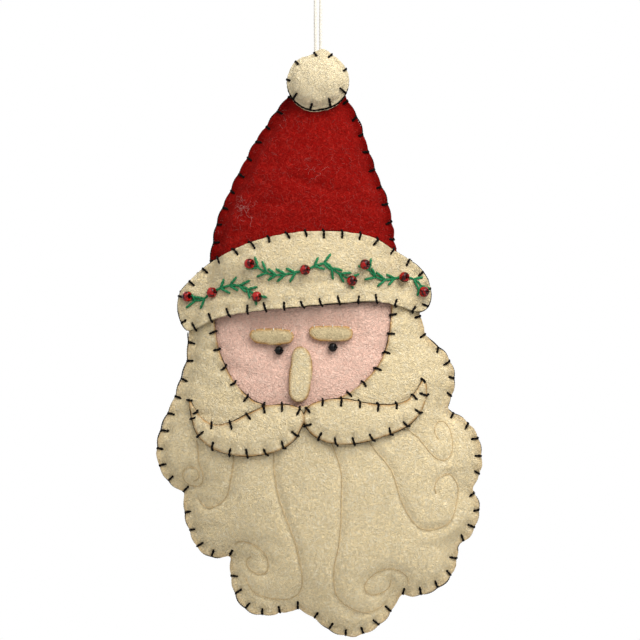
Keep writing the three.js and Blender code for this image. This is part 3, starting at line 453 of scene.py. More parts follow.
@lru_cache
def outlines():
    """The outline of each piece of felt, as a closed line of places on the face"""
    hat = smooth_line(on_face(HAT_SHARES, HAT_SIZE))
    lobes = [smooth_line(on_face(shares, BEARD_SIZE)) for shares in BEARD_LOBE_SHARES]
    beard = np.vstack([lobes[0], *(lobe[1:] for lobe in lobes[1:])])
    window_foot = smooth_line(on_face(WINDOW_SHARES, WINDOW_SIZE))
    lap = PANEL_LAP * np.array([0, 1])
    window = np.vstack([window_foot, window_foot[-1] + lap, window_foot[0] + lap])
    lines = {
        "silhouette": np.vstack([beard, hat[::-1]]),
        "hat": hat,
        "beard": beard,
        "band": smooth_line(on_face(BAND_SHARES, BAND_SIZE), closed=True),
        "window": window,
        "panel": rim_of(window, PANEL_LAP).at,
        "nose": smooth_line(on_face(NOSE_SHARES, NOSE_SIZE, nose_foot()), closed=True),
    }
    for side in SIDES:
        half = on_face(MOUSTACHE_SHARES[side], MOUSTACHE_SIZES[side], moustache_meet())
        lines[f"moustache_{side}"] = smooth_line(half, closed=True)
        brow = on_face(BROW_SHARES, BROW_SIZE, brow_middle(side))
        lines[f"eyebrow_{side}"] = smooth_line(brow, closed=True)
    return lines


def moustache_meet():
    """Where the two halves of the moustache meet, from the joint line"""
    return MOUSTACHE_MEET_SHARE * WINDOW_SIZE[0], -WINDOW_SIZE[1] - MOUSTACHE_SEAT


def nose_foot():
    """The middle of the nose's foot, from the joint line"""
    return NOSE_PLACE_SHARE * WINDOW_SIZE[0], NOSE_SEAT - WINDOW_SIZE[1]


def brow_foot(side):
    """Height of an eyebrow's foot over the joint line"""
    nose_top = NOSE_SEAT + NOSE_SIZE[1] - WINDOW_SIZE[1]
    return nose_top + BROW_LIFTS[side]


def brow_middle(side):
    """The middle of an eyebrow, from the joint line"""
    return BROW_PLACE_SHARES[side] * WINDOW_SIZE[0], brow_foot(side) + BROW_SIZE[1] / 2


def eye_place(side):
    """Middle of an eye on the face, a bead just under the eyebrow's foot"""
    bead = bpy.context.scene.ornament_trim.eye
    room = 3 * GAP
    return EYE_PLACE_SHARES[side] * WINDOW_SIZE[0], JOINT_LINE + brow_foot(side) - room - bead / 2


def pompom_centre():
    """The pompom's place on the face"""
    return 0, JOINT_LINE + HAT_SIZE[1] - POMPOM_BELOW_TIP


def curl_lines():
    """The way of each curl on the beard"""
    step = CURL_STITCH / CURL_STITCH_POINTS
    return [smooth_line(on_face(shares, BEARD_SIZE), step) for shares in CURL_SHARES]


def sheet_area(name):
    """Flat area of a piece of felt"""
    x, z = outlines()[name].T
    return abs((x * np.roll(z, -1) - np.roll(x, -1) * z).sum()) / 2


# The stuffed form: how far the filling lifts the felt over each place of the face. A lump's depth is a share
# of that lift.

SIM_SCALE = 10
SIM_FRAMES = 20
SHEET_STEP = 0.0017
LUMPS = ({"wavelength": 0.017, "depth": 0.05}, {"wavelength": 0.006, "depth": 0.014})


def membrane(loose):
    """How high a stretched membrane stands over each loose cell of a grid, as a share of its highest point"""
    relaxation = 1.93
    sweeps = 320
    height = np.zeros(loose.shape)
    checker = np.indices(loose.shape).sum(axis=0) % 2
    for _ in range(sweeps):
        for half in (0, 1):
            cells = loose & (checker == half)
            around = sum(np.roll(height, shift, axis) for axis in (0, 1) for shift in (1, -1))
            height[cells] += relaxation * ((around[cells] + 1) / 4 - height[cells])
    return height / height.max()


def blurred(values, passes):
    """A grid of values, smoothed by its neighbours"""
    for _ in range(passes):
        for axis in (0, 1):
            values = (np.roll(values, 1, axis) + 2 * values + np.roll(values, -1, axis)) / 4
    return values


def sheet_of(places, depth, lift):
    """A sheet over an even grid of places, ten times its size, with the group of its sewn-down points"""
    low = places[0]
    high = places[-1]
    size = high - low
    middle = (low + high) / 2
    columns, rows = (round(length / SHEET_STEP) for length in size)
    bm = bmesh.new()
    bmesh.ops.create_grid(bm, x_segments=columns, y_segments=rows, size=0.5)
    bmesh.ops.scale(bm, verts=bm.verts[:], vec=(*size, 1))
    bmesh.ops.rotate(bm, verts=bm.verts[:], matrix=Matrix.Rotation(math.pi / 2, 3, "X"))
    bmesh.ops.translate(bm, verts=bm.verts[:], vec=(middle[0], 0, middle[1]))
    points = np.array([vert.co[:] for vert in bm.verts])[:, [0, 2]]
    inside = depth(points)
    for vert, rise in zip(bm.verts, lift(points)):
        vert.co.y = -rise
    bmesh.ops.scale(bm, verts=bm.verts[:], vec=(SIM_SCALE, SIM_SCALE, SIM_SCALE))
    outside = [vert for vert, share in zip(bm.verts, inside) if share < -SHEET_STEP]
    bmesh.ops.delete(bm, geom=outside, context="VERTS")
    sheet = bpy.data.objects.new("sheet", new_mesh("sheet", bm))
    bpy.context.collection.objects.link(sheet)
    kept = inside[inside >= -SHEET_STEP]
    sewn = sheet.vertex_groups.new(name="sewn")
    sewn.add([int(i) for i in np.flatnonzero(kept < bpy.context.scene.ornament_felt.flange)], 1, "REPLACE")
    return sheet


def blown_up(sheet):
    """The sheet after its filling has blown it up in a cloth simulation, as a tree to measure it by"""
    cloth = sheet.modifiers.new("cloth", "CLOTH")
    settings = cloth.settings
    settings.quality = 6
    settings.mass = 0.3
    settings.tension_stiffness = 20
    settings.compression_stiffness = 12
    settings.shear_stiffness = 8
    settings.bending_stiffness = 0.6
    settings.vertex_group_mass = "sewn"
    settings.shrink_min = -0.012
    settings.use_pressure = True
    settings.uniform_pressure_force = 4
    settings.effector_weights.gravity = 0
    cloth.collision_settings.use_collision = False
    cloth.point_cache.frame_end = SIM_FRAMES
    scene = bpy.context.scene
    for number in range(1, SIM_FRAMES + 1):
        scene.frame_set(number)
    made = sheet.evaluated_get(bpy.context.evaluated_depsgraph_get())
    mesh = bpy.data.meshes.new_from_object(made)
    corners = [vert.co for vert in mesh.vertices]
    tree = BVHTree.FromPolygons(corners, [face.vertices for face in mesh.polygons])
    bpy.data.objects.remove(sheet)
    scene.frame_set(1)
    return tree


class StuffedForm:
    """The lift of the front and back felt over an even grid of places on the face"""

    def __init__(self, felt):
        line = outlines()["silhouette"]
        margin = 4 * felt.flange
        self.low = line.min(axis=0) - margin
        size = np.ceil((line.max(axis=0) + margin - self.low) / GRID_STEP).astype(int) + 1
        ticks = [low + GRID_STEP * np.arange(count) for low, count in zip(self.low, size)]
        across, up = np.meshgrid(*ticks, indexing="ij")
        self.places = np.stack([across.ravel(), up.ravel()], axis=1)
        self.depth = depth_in(self.places, divided(line, COARSE_STEP, closed=True)).reshape(size)
        self.on_hat = np.clip((up - JOINT_LINE) / (2 * felt.flange), 0, 1)
        share = membrane(self.depth > felt.flange)
        ease = 0.015
        beard_fullness = 0.52
        less_on_hat = 0.1
        fullness = beard_fullness - less_on_hat * self.on_hat
        dome = (share + ease) ** fullness - ease ** fullness
        dome /= (1 + ease) ** fullness - ease ** fullness
        lumps = np.array([self.lump(place) for place in self.places]).reshape(size)
        dome = blurred(dome * (1 + lumps), 2)
        self.lift = {FRONT: felt.front_crown * dome, BACK: felt.back_crown * dome}
        self.lift = {side: self.settled(lift) for side, lift in self.lift.items()}
        ledge = blurred(self.ledge(felt), 1)
        self.lift = {side: lift + ledge for side, lift in self.lift.items()}
        self.slope = {side: self.steepness(lift) for side, lift in self.lift.items()}

    def settled(self, lift):
        """The lift after a cloth simulation in which the sewn-down felt swells and puckers a little"""
        start_share = 0.88
        most = 0.0014
        clear_of_sheet = -1
        inwards = Vector((0, 1, 0))
        sheet = sheet_of(self.places, lambda places: self.read(self.depth, places),
                         lambda places: start_share * self.read(lift, places))
        tree = blown_up(sheet)
        risen = np.zeros(len(self.places))
        for i, (x, z) in enumerate(self.places):
            hit = tree.ray_cast(Vector((SIM_SCALE * x, clear_of_sheet, SIM_SCALE * z)), inwards)[0]
            if hit:
                risen[i] = -hit.y / SIM_SCALE
        risen = risen.reshape(lift.shape)
        return np.where(lift > 0, np.clip(risen, np.maximum(lift - most, 0), lift + most), 0)

    def ledge(self, felt):
        """The steep rise of the filled felt past its sewn edge, most of all on the hat"""
        height = 0.0013
        width = 0.0013
        beard_share = 0.3
        rise = np.clip((self.depth - felt.flange) / width, 0, 1)
        return height * rise * (beard_share + (1 - beard_share) * self.on_hat)

    def lump(self, place):
        """Uneven filling, as a share of the lift"""
        point = Vector((place[0], 0, place[1]))
        return sum(lump["depth"] * noise.noise(point / lump["wavelength"]) for lump in LUMPS)

    def steepness(self, lift):
        """Length of the felt over a cell, as a share of the cell"""
        limit = 2.2
        return np.minimum(np.hypot(1, np.hypot(*np.gradient(lift, GRID_STEP))), limit)

    def read(self, grid, places):
        """Values of a grid at places of the face"""
        share = (np.asarray(places) - self.low) / GRID_STEP
        cell = np.clip(np.floor(share).astype(int), 0, np.array(grid.shape) - 2)
        part = np.clip(share - cell, 0, 1)
        i, j = cell.T
        u, v = part.T
        low = grid[i, j] * (1 - u) + grid[i + 1, j] * u
        high = grid[i, j + 1] * (1 - u) + grid[i + 1, j + 1] * u
        return low * (1 - v) + high * v

    def level(self, side, places):
        """How far from the seam the filling's surface lies"""
        return GAP + self.read(self.lift[side], places)


@lru_cache
def stuffed_form():
    """The form that every piece of felt lies on"""
    return StuffedForm(bpy.context.scene.ornament_felt)


def on_filling(side):
    """The levels of the felt that lies on the filling"""
    form = stuffed_form()
    return lambda places: form.level(side, places)


def on_felt(side):
    """The levels of what lies on the outer felt"""
    form = stuffed_form()
    lift = bpy.context.scene.ornament_felt.thickness + GAP
    return lambda places: form.level(side, places) + lift * form.read(form.slope[side], places)


def face_dip(places):
    """How deep the sewing of brows and eyes draws the face in"""
    brow_depth = 0.0014
    brow_width = 0.0038
    eye_depth = 0.0018
    eye_width = 0.0058
    brows = [place for side in SIDES for place in outlines()[f"eyebrow_{side}"][::3]]
    eyes = [np.array(eye_place(side)) for side in SIDES]
    brow_dips = brow_depth * dents(places, brows, brow_width)
    return np.maximum(brow_dips, eye_depth * dents(places, eyes, eye_width))


def on_panel(places):
    """The levels of what lies on the face panel, which the beard's window laps over"""
    form = stuffed_form()
    return form.level(FRONT, places) + GAP - face_dip(places)


def band_levels(side):
    """The levels of the hat band, which pinches together past the edge of hat and beard"""
    form = stuffed_form()
    outer = on_felt(side)
    pinch_start = 0.0006
    pinch_width = 0.0026

    def levels(places):
        past = -form.read(form.depth, places) - pinch_start
        share = np.clip(past / pinch_width, 0, 1)
        share = share * share * (3 - 2 * share)
        return outer(places) * (1 - share) + GAP * share

    return levels


# Felt


def new_mesh(name, bm):
    """A mesh from a bmesh, which is freed"""
    mesh = bpy.data.meshes.new(name)
    bm.to_mesh(mesh)
    bm.free()
    return mesh


def put(name, mesh, slot, *nodes, finish=None, body=BODY):
    """Puts a finished mesh into the scene, in its slot's finish or its own, in place of its CAD nodes"""
    mesh.materials.clear()
    mesh.materials.append(finishes()[finish or slot])
    mesh.polygons.foreach_set("use_smooth", [True] * len(mesh.polygons))
    piece = bpy.data.objects.new(name, mesh)
    bpy.context.collection.objects.link(piece)
    if body:
        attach(piece, body)
    if nodes:
        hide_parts(*nodes)
    return piece


def evaluated_mesh(data, *modifiers):
    """The mesh that an object's data and modifiers make"""
    carrier = bpy.data.objects.new("carrier", data)
    bpy.context.collection.objects.link(carrier)
    for kind, settings in modifiers:
        modifier = carrier.modifiers.new(kind, kind)
        for name, value in settings.items():
            setattr(modifier, name, value)
    made = carrier.evaluated_get(bpy.context.evaluated_depsgraph_get())
    mesh = bpy.data.meshes.new_from_object(made)
    bpy.data.objects.remove(carrier)
    return mesh


def cut_felt(outline, thickness, voxel=FELT_VOXEL):
    """A flat piece of felt in an outline, evenly divided, with its inner face on the seam's plane"""
    bm = bmesh.new()
    corners = [bm.verts.new((x, 0, z)) for x, z in outline]
    for start, end in zip(corners, corners[1:] + corners[:1]):
        bm.edges.new((start, end))
    bmesh.ops.triangle_fill(bm, use_beauty=True, edges=bm.edges[:], normal=(0, -1, 0))
    made = bmesh.ops.extrude_face_region(bm, geom=bm.faces[:])
    outer = [item for item in made["geom"] if isinstance(item, bmesh.types.BMVert)]
    bmesh.ops.translate(bm, verts=outer, vec=(0, -thickness, 0))
    bmesh.ops.recalc_face_normals(bm, faces=bm.faces[:])
    flat = new_mesh("flat felt", bm)
    felt = evaluated_mesh(flat, ("REMESH", {"mode": "VOXEL", "voxel_size": voxel}))
    bpy.data.meshes.remove(flat)
    bm = bmesh.new()
    bm.from_mesh(felt)
    bmesh.ops.smooth_vert(
        bm, verts=bm.verts[:], factor=0.5, use_axis_x=True, use_axis_y=False, use_axis_z=True)
    bm.to_mesh(felt)
    bm.free()
    return felt


def coordinates(mesh):
    """A mesh's points"""
    flat = np.empty(3 * len(mesh.vertices), dtype=np.float32)
    mesh.vertices.foreach_get("co", flat)
    return flat.reshape(-1, 3).astype(float)


def moved(mesh, points):
    """A mesh whose points are moved to new places"""
    mesh.vertices.foreach_set("co", points.astype(np.float32).ravel())
    mesh.update()
    return mesh


def layered(mesh, thickness, levels):
    """A flat mesh laid between two levels: where its inner face comes to lie and where its outer one does"""
    points = coordinates(mesh)
    share = -points[:, 1] / thickness
    inner, outer = levels(points[:, [0, 2]])
    points[:, 1] = inner + share * (outer - inner)
    return moved(mesh, points)


def dents(places, points, width):
    """How deep the sewing at some points presses the felt, from 0 to 1"""
    pressed = np.zeros(len(places))
    for point in points:
        away = ((places - point) ** 2).sum(axis=1)
        pressed = np.maximum(pressed, np.exp(-away / width ** 2))
    return pressed


PUCKER = 0.00032


def puckered(places, legs):
    """Places on felt, drawn in where the legs of a seam pull at its edge"""
    width = 0.0012
    drawn = places.copy()
    for leg in legs:
        away = ((places - leg.edge) ** 2).sum(axis=1)
        drawn -= PUCKER * np.exp(-away / width ** 2)[:, None] * leg.out
    return drawn


Lay = namedtuple("Lay", "side inner outer legs")


def lying(side, inner, pressed_at=(), crown=0, outline=None, legs=(), crease=0):
    """How a piece of felt lies: its inner levels, and its outer ones, pressed in where it is sewn"""
    form = stuffed_form()
    thickness = bpy.context.scene.ornament_felt.thickness
    flange = bpy.context.scene.ornament_felt.flange
    crease_width = 0.0007
    press_depth = 0.0007
    press_width = 0.0012
    edge_width = 0.0016

    def outer(places):
        lifted = inner(places) + thickness * form.read(form.slope[side], places)
        if len(pressed_at):
            lifted -= press_depth * dents(places, pressed_at, press_width)
        if crease:
            past = form.read(form.depth, places) - flange
            inwards = np.exp(-(past / crease_width) ** 2)
            lifted -= crease * np.where(past > 0, inwards, 1 + past / (2 * flange))
        if crown:
            lifted += crown * (1 - np.exp(-np.maximum(depth_in(places, outline), 0) / edge_width))
        return lifted

    return Lay(side, inner, outer, legs)


@lru_cache
def lays():
    """How each piece of felt of the head lies"""
    lines = outlines()
    thickness = bpy.context.scene.ornament_felt.thickness
    applied_crown = 0.0002
    moustache_crown = 0.0009
    hat_crease = 0.0004
    beard_crease = 0.00025
    made = {}
    for name, side in FACES.items():
        hat_sewn = pressed_places("hat_left", "hat_right")
        beard_sewn = pressed_places("beard_edge")
        hat_legs = seams()["hat_left"].legs + seams()["hat_right"].legs
        beard_legs = seams()["beard_edge"].legs
        if side == FRONT:
            beard_sewn += pressed_places("window_left", "window_right")
            beard_sewn += [place for line in curl_lines() for place in line[::2]]
        made[f"hat_{name}"] = lying(
            side, on_filling(side), hat_sewn, legs=hat_legs, crease=hat_crease)
        made[f"beard_{name}"] = lying(
            side, on_filling(side), beard_sewn, legs=beard_legs, crease=beard_crease)
        made[f"band_{name}"] = lying(side, band_levels(side), pressed_places(f"band_{name}"))
    panel_inner = on_filling(FRONT)
    made["panel"] = lying(FRONT, lambda places: panel_inner(places) - GAP - thickness - face_dip(places))
    for name in ("nose", "eyebrow_left", "eyebrow_right"):
        made[name] = lying(FRONT, on_panel, crown=applied_crown, outline=lines[name])
    for name in ("moustache_left", "moustache_right"):
        made[name] = lying(FRONT, on_felt(FRONT), pressed_places(name), moustache_crown, lines[name])
    return made


def laid(felt, lay):
    """Lays flat felt between its inner and outer levels"""
    points = coordinates(felt)
    places = puckered(points[:, [0, 2]], lay.legs)
    points[:, [0, 2]] = places
    share = points[:, 1] / points[:, 1].min()
    inner = lay.inner(places)
    points[:, 1] = lay.side * (inner + share * (lay.outer(places) - inner))
    if lay.side == BACK:
        felt.flip_normals()
    return moved(felt, points)


SINGE_WIDTH = 0.0005
# How wide the painted shade along the hat's sewn flange spreads
FLANGE_SHADE_WIDTH = 0.0021


def singed_and_shaded(felt, line, rim=None, width=SINGE_WIDTH):
    """Marks the felt near a line, as a browned edge or as painted shade along a sewn flange, and more faintly
    near its outer rim, as painted shade there
    """
    rim_shade_width = 0.0011
    rim_shade_share = 0.34
    places = coordinates(felt)[:, [0, 2]]
    shares = np.exp(-(depth_in(places, line) / width) ** 2)
    # Painted shade along the outer rim, darker towards the edge
    if rim is not None:
        shares = np.maximum(shares, rim_shade_share * np.exp(-(depth_in(places, rim) / rim_shade_width) ** 2))
    felt.attributes.new("singe_and_shade", "FLOAT", "POINT").data.foreach_set("value", shares.astype(np.float32))
    return felt


# Materials

WHITE = (1, 1, 1)
NAP_DEPTH = 0.00045
COTTON_DEPTH = 0.00006


def feed(tree, node, inputs):
    """Links a node's inputs to sockets, or gives them their values"""
    for name, value in inputs.items():
        if isinstance(value, bpy.types.NodeSocket):
            tree.links.new(value, node.inputs[name])
        else:
            node.inputs[name].default_value = value


def add_node(tree, kind, inputs=None, **settings):
    """A shader node with its settings and inputs"""
    node = tree.nodes.new(kind)
    for name, value in settings.items():
        setattr(node, name, value)
    feed(tree, node, inputs or {})
    return node


def new_material(name):
    """An empty material: itself, its tree, its surface shader and its places on the object"""
    material = bpy.data.materials.new(name)
    material.use_nodes = True
    tree = material.node_tree
    tree.nodes.clear()
    shader = add_node(tree, "ShaderNodeBsdfPrincipled")
    add_node(tree, "ShaderNodeOutputMaterial", {"Surface": shader.outputs["BSDF"]})
    places = add_node(tree, "ShaderNodeTexCoord").outputs["Object"]
    return material, tree, shader, places


def rgba(colour, share=1):
    """A colour made darker or lighter, with its alpha"""
    return (*(min(1, share * value) for value in colour), 1)


MIX_FACTOR = 0
MIX_COLOURS = (6, 7)
MIX_RESULT = 2


def mixed(tree, factor, first, second, blend="MIX"):
    """A mix of two colours"""
    inputs = {MIX_FACTOR: factor, MIX_COLOURS[0]: first, MIX_COLOURS[1]: second}
    return add_node(tree, "ShaderNodeMix", inputs, data_type="RGBA", blend_type=blend).outputs[MIX_RESULT]


def grain(tree, places, scale, detail=4, roughness=0.6, distortion=0):
    """A noise over the object"""
    return add_node(tree, "ShaderNodeTexNoise", {
        "Vector": places, "Scale": scale, "Detail": detail, "Roughness": roughness, "Distortion": distortion,
    }).outputs["Fac"]


def between(tree, value, low, high):
    """A value stretched so that low becomes 0 and high 1"""
    return add_node(tree, "ShaderNodeMapRange", {
        "Value": value, "From Min": low, "From Max": high, "To Min": 0, "To Max": 1}).outputs["Result"]


def worked_out(tree, operation, first, second):
    """The value that an operation makes of two"""
    return add_node(tree, "ShaderNodeMath", {0: first, 1: second}, operation=operation).outputs[0]


def scaled(tree, value, share):
    """A share of a value"""
    return worked_out(tree, "MULTIPLY", value, share)


def hairs(tree, places, turn):
    """Wool fibres that run one way over the face, as thin light streaks"""
    fibre_size = (0.0016, 0.001, 0.00034)
    along = add_node(tree, "ShaderNodeMapping", {
        "Vector": places, "Rotation": (0, math.radians(turn), 0), "Scale": fibre_size,
    }, vector_type="TEXTURE").outputs["Vector"]
    return between(tree, grain(tree, along, scale=1, detail=2, distortion=0.7), low=0.54, high=0.7)


def felt_material(name, colour, fibre, sheen, singe_and_shade=None):
    """Pressed wool: matted clumps and loose fibres, a soft nap lighter where raised, partly its own tone and
    partly painted light, painted shade in the hollows of its grain, and an edge mark: on the appliques a
    browned edge, on hat and beard painted shade along the sewn flange and rim
    """
    material, tree, shader, places = new_material(name)
    nap = grain(tree, places, scale=1800, detail=4, roughness=0.7, distortion=0.4)
    folds = worked_out(tree, "SUBTRACT", grain(tree, places, scale=1100, detail=2, distortion=1.4), 0.5)
    clumps = between(tree, worked_out(tree, "ABSOLUTE", folds, 0), low=0.13, high=0)
    fibres = hairs(tree, places, turn=24)
    for turn in (-37, 81):
        fibres = worked_out(tree, "MAXIMUM", fibres, hairs(tree, places, turn))
    pebbles = grain(tree, places, scale=1350, detail=1, distortion=0.6)
    mottle = grain(tree, places, scale=95, detail=3)

    # The nap and the clumps, which the bump also raises, are lighter where raised: partly the wool's own
    # tone, partly painted light. The pebbles' hollows are darker: painted shade.
    raised = between(tree, nap, low=0.36, high=0.64)
    painted_hollow_shade = between(tree, pebbles, low=0.52, high=0.3)
    shade = mixed(tree, raised, rgba(colour, share=0.78), rgba(colour, share=1.1))
    shade = mixed(tree, scaled(tree, clumps, share=0.35), shade, rgba(colour, share=1.16))
    shade = mixed(tree, scaled(tree, painted_hollow_shade, share=0.18), shade, rgba(colour, share=0.76))
    shade = mixed(tree, scaled(tree, fibres, share=0.6), shade, rgba(fibre))
    worn = mixed(tree, 1, shade, rgba(WHITE, share=0.9), "MULTIPLY")
    shade = mixed(tree, between(tree, mottle, low=0.3, high=0.75), worn, shade)
    # The singe attribute marks browned applique edges, and painted shade along the sewn flange of the hat and
    # the rim of the beard
    if singe_and_shade:
        edge = add_node(tree, "ShaderNodeAttribute", attribute_name="singe_and_shade").outputs["Fac"]
        patches = between(tree, grain(tree, places, scale=420), low=0.2, high=0.55)
        shade = mixed(tree, scaled(tree, edge, patches), shade, rgba(singe_and_shade))

    relief = scaled(tree, clumps, share=0.45)
    for layer, share in ((fibres, 0.4), (nap, 0.8), (pebbles, 0.9)):
        relief = worked_out(tree, "ADD", relief, scaled(tree, layer, share))
    bump = add_node(tree, "ShaderNodeBump", {"Height": relief, "Strength": 1, "Distance": NAP_DEPTH})
    feed(tree, shader, {
        "Base Color": shade, "Normal": bump.outputs["Normal"], "Roughness": 0.96,
        "Specular IOR Level": 0.05, "Sheen Weight": sheen, "Sheen Roughness": 0.6, "Sheen Tint": rgba(fibre),
    })
    return material


def thread_material(name, colour, light_share, gloss=0.5, sheen=0.05, specular=0.15):
    """Twisted cotton: fine fibres over the plies, lighter where the bump raises them and darker between them,
    partly their own tone and partly painted light and shade
    """
    material, tree, shader, places = new_material(name)
    fine = grain(tree, places, scale=5200, detail=3, roughness=0.7)
    raised = between(tree, fine, low=0.35, high=0.7)
    broad = between(tree, grain(tree, places, scale=700), low=0.4, high=0.7)
    # Lighter where raised, darker where low: partly the cotton's own tone, partly painted light and shade
    shade = mixed(tree, raised, rgba(colour, share=0.7), rgba(colour, light_share))
    shade = mixed(tree, scaled(tree, broad, share=0.3), shade, rgba(colour, share=0.6))
    bump = add_node(tree, "ShaderNodeBump", {"Height": fine, "Strength": 0.5, "Distance": COTTON_DEPTH})
    feed(tree, shader, {
        "Base Color": shade, "Normal": bump.outputs["Normal"], "Roughness": gloss,
        "Specular IOR Level": specular, "Sheen Weight": sheen, "Sheen Tint": rgba(colour, light_share),
    })
    return material


def glass_material(name, colour, gloss):
    """Glossy coloured glass with sharp patches of painted highlight and painted shade, and fine wear"""
    material, tree, shader, places = new_material(name)
    # Painted highlights and painted shade: patches much lighter and much darker than the glass, standing in
    # for light caught in it
    painted_glints_and_shade = between(tree, grain(tree, places, scale=760, detail=2), low=0.44, high=0.56)
    shade = mixed(tree, painted_glints_and_shade, rgba(colour, share=0.18), rgba(colour, share=2.1))
    wear = between(tree, grain(tree, places, scale=2600, detail=3), low=0.45, high=0.8)
    rough = add_node(tree, "ShaderNodeMapRange", {"Value": wear, "To Min": 0.08, "To Max": 0.2})
    feed(tree, shader, {
        "Base Color": shade, "Roughness": rough.outputs["Result"], "Specular IOR Level": gloss})
    return material


@lru_cache
def finishes():
    """Every material, by its slot in the record or by what it is for"""
    scene = bpy.context.scene
    felt = scene.ornament_felt
    trim = scene.ornament_trim
    cream = tuple(felt.cream)
    red = tuple(felt.red)
    singe_and_shade = tuple(felt.singe_and_shade)
    black = tuple(scene.ornament_sewing.black)
    white = (0.9, 0.88, 0.82)
    pale = (0.92, 0.84, 0.64)
    pale_pink = (0.9, 0.68, 0.56)
    bright = (0.87, 0.72, 0.45)
    golden = (0.6, 0.27, 0.05)
    red_fibre = (0.5, 0.024, 0.016)
    lint = (0.32, 0.07, 0.06)
    tuft = (0.45, 0.2, 0.18)
    brow_share = 0.8
    # Painted shade along the hat's sewn flange, as a share of the red
    flange_shade_share = 0.64
    brow = tuple(brow_share * value for value in cream)
    painted_flange_shade = tuple(flange_shade_share * value for value in red)
    return {
        "felt_cream": felt_material("cream felt", cream, pale, sheen=0.12, singe_and_shade=singe_and_shade),
        "brow_felt": felt_material("brow felt", brow, cream, sheen=0.08, singe_and_shade=golden),
        "bright_felt": felt_material("bright felt", bright, pale, sheen=0.12, singe_and_shade=singe_and_shade),
        "felt_red": felt_material("red felt", red, red_fibre, sheen=0.1, singe_and_shade=painted_flange_shade),
        "felt_pink": felt_material("pink felt", tuple(felt.pink), pale_pink, sheen=0.12),
        "filling": felt_material("fibre filling", white, WHITE, sheen=0.3),
        "thread_black": thread_material(
            "black thread", black, light_share=1.8, gloss=0.7, sheen=0, specular=0.04),
        "thread_green": thread_material("green thread", tuple(trim.green), light_share=1.5, gloss=0.45),
        "thread_tan": thread_material("tan thread", tuple(trim.tan), light_share=1.35),
        "cord_white": thread_material(
            "cotton cord", tuple(scene.ornament_cord.white), light_share=1.1, gloss=0.7),
        "loose_lint": thread_material("loose lint", lint, light_share=1.3, gloss=0.9),
        "lint_tufts": thread_material("lint tufts", tuft, light_share=1.3, gloss=0.9),
        "glass_red": glass_material("red glass", tuple(trim.berry_red), gloss=0.2),
        "glass_black": glass_material("black glass", tuple(trim.eye_black), gloss=0.14),
    }


# Threads

PLIES = 2
PLY_RADIUS_SHARE = 0.31
PLY_OFFSET_SHARE = 0.19
TWIST_SHARE = 3.1
TURN_POINTS = 6
NEXT_PHASE = 0.37
ACROSS_ANY_THREAD = (0.3, 0.8, 0.5)


def carried_frame(path):
    """Directions square to a path, carried along it without twisting"""
    along = np.gradient(path, axis=0)
    along /= np.linalg.norm(along, axis=1)[:, None]
    first = np.cross(along[0], ACROSS_ANY_THREAD)
    square = [first / np.linalg.norm(first)]
    for tangent in along[1:]:
        carried = square[-1] - tangent * (square[-1] @ tangent)
        square.append(carried / np.linalg.norm(carried))
    square = np.array(square)
    return square, np.cross(along, square)


def ply_lines(path, diameter, plies, phase):
    """The plies of a twisted thread that follows a path"""
    turn_length = TWIST_SHARE * diameter
    line = divided(path, turn_length / TURN_POINTS)
    square, across = carried_frame(line)
    offset = PLY_OFFSET_SHARE * diameter
    for ply in range(plies):
        turn = 2 * math.pi * (np.arange(len(line)) / TURN_POINTS + ply / plies + phase)
        yield line + offset * (np.cos(turn)[:, None] * square + np.sin(turn)[:, None] * across)


def thread_mesh(paths, diameter, plies=PLIES, swell=None):
    """Twisted threads along paths; swell gives the thickness from a share of the way"""
    curve = bpy.data.curves.new("thread", "CURVE")
    curve.dimensions = "3D"
    curve.bevel_depth = diameter / 2 if plies == 1 else PLY_RADIUS_SHARE * diameter
    curve.bevel_resolution = 1
    curve.use_fill_caps = True
    for number, path in enumerate(paths):
        phase = (number * NEXT_PHASE) % 1
        for line in [np.asarray(path)] if plies == 1 else ply_lines(path, diameter, plies, phase):
            spline = curve.splines.new("POLY")
            spline.points.add(len(line) - 1)
            spline.points.foreach_set("co", np.column_stack([line, np.ones(len(line))]).ravel())
            if swell:
                spline.points.foreach_set("radius", [swell(i / (len(line) - 1)) for i in range(len(line))])
    mesh = evaluated_mesh(curve)
    bpy.data.curves.remove(curve)
    return mesh


def joined(*meshes):
    """Several meshes as one"""
    bm = bmesh.new()
    for mesh in meshes:
        bm.from_mesh(mesh)
        bpy.data.meshes.remove(mesh)
    return new_mesh("joined", bm)


def over(places, levels, side, rise):
    """Points at a rise over levels on one side"""
    return np.column_stack([places[:, 0], side * (levels(places) + rise), places[:, 1]])


def between_places(start, end, parts=8):
    """Places along a straight way"""
    share = np.linspace(0, 1, parts + 1)[:, None]
    return start * (1 - share) + end * share


# Stitches, with how far a leg may lean, hook and stretch, as shares of its reach or of the thread

Seam = namedtuple("Seam", "run legs")
Leg = namedtuple("Leg", "inner edge outer out")
LEAN_SHARE = 0.28
HOOK_SHARE = 0.7
STRETCH_SHARES = (0.7, 1.1)
LEG_RISE_SHARE = 0.6


def edge_run(rim, low, high, seed):
    """The thread along an edge, which wanders between two offsets from it"""
    wavelength = 0.008
    swing = 1.3
    row = Vector((0, 0, seed))
    wander = np.array([noise.noise(Vector((x, z, 0)) / wavelength + row) for x, z in rim.edge])
    share = np.clip(0.5 + swing * wander, 0, 1)
    run = rim.edge + rim.out * (low + (high - low) * share)[:, None]
    closed = np.linalg.norm(run[-1] - run[0]) < 2 * LINE_STEP
    return np.vstack([run, run[:1]]) if closed else run


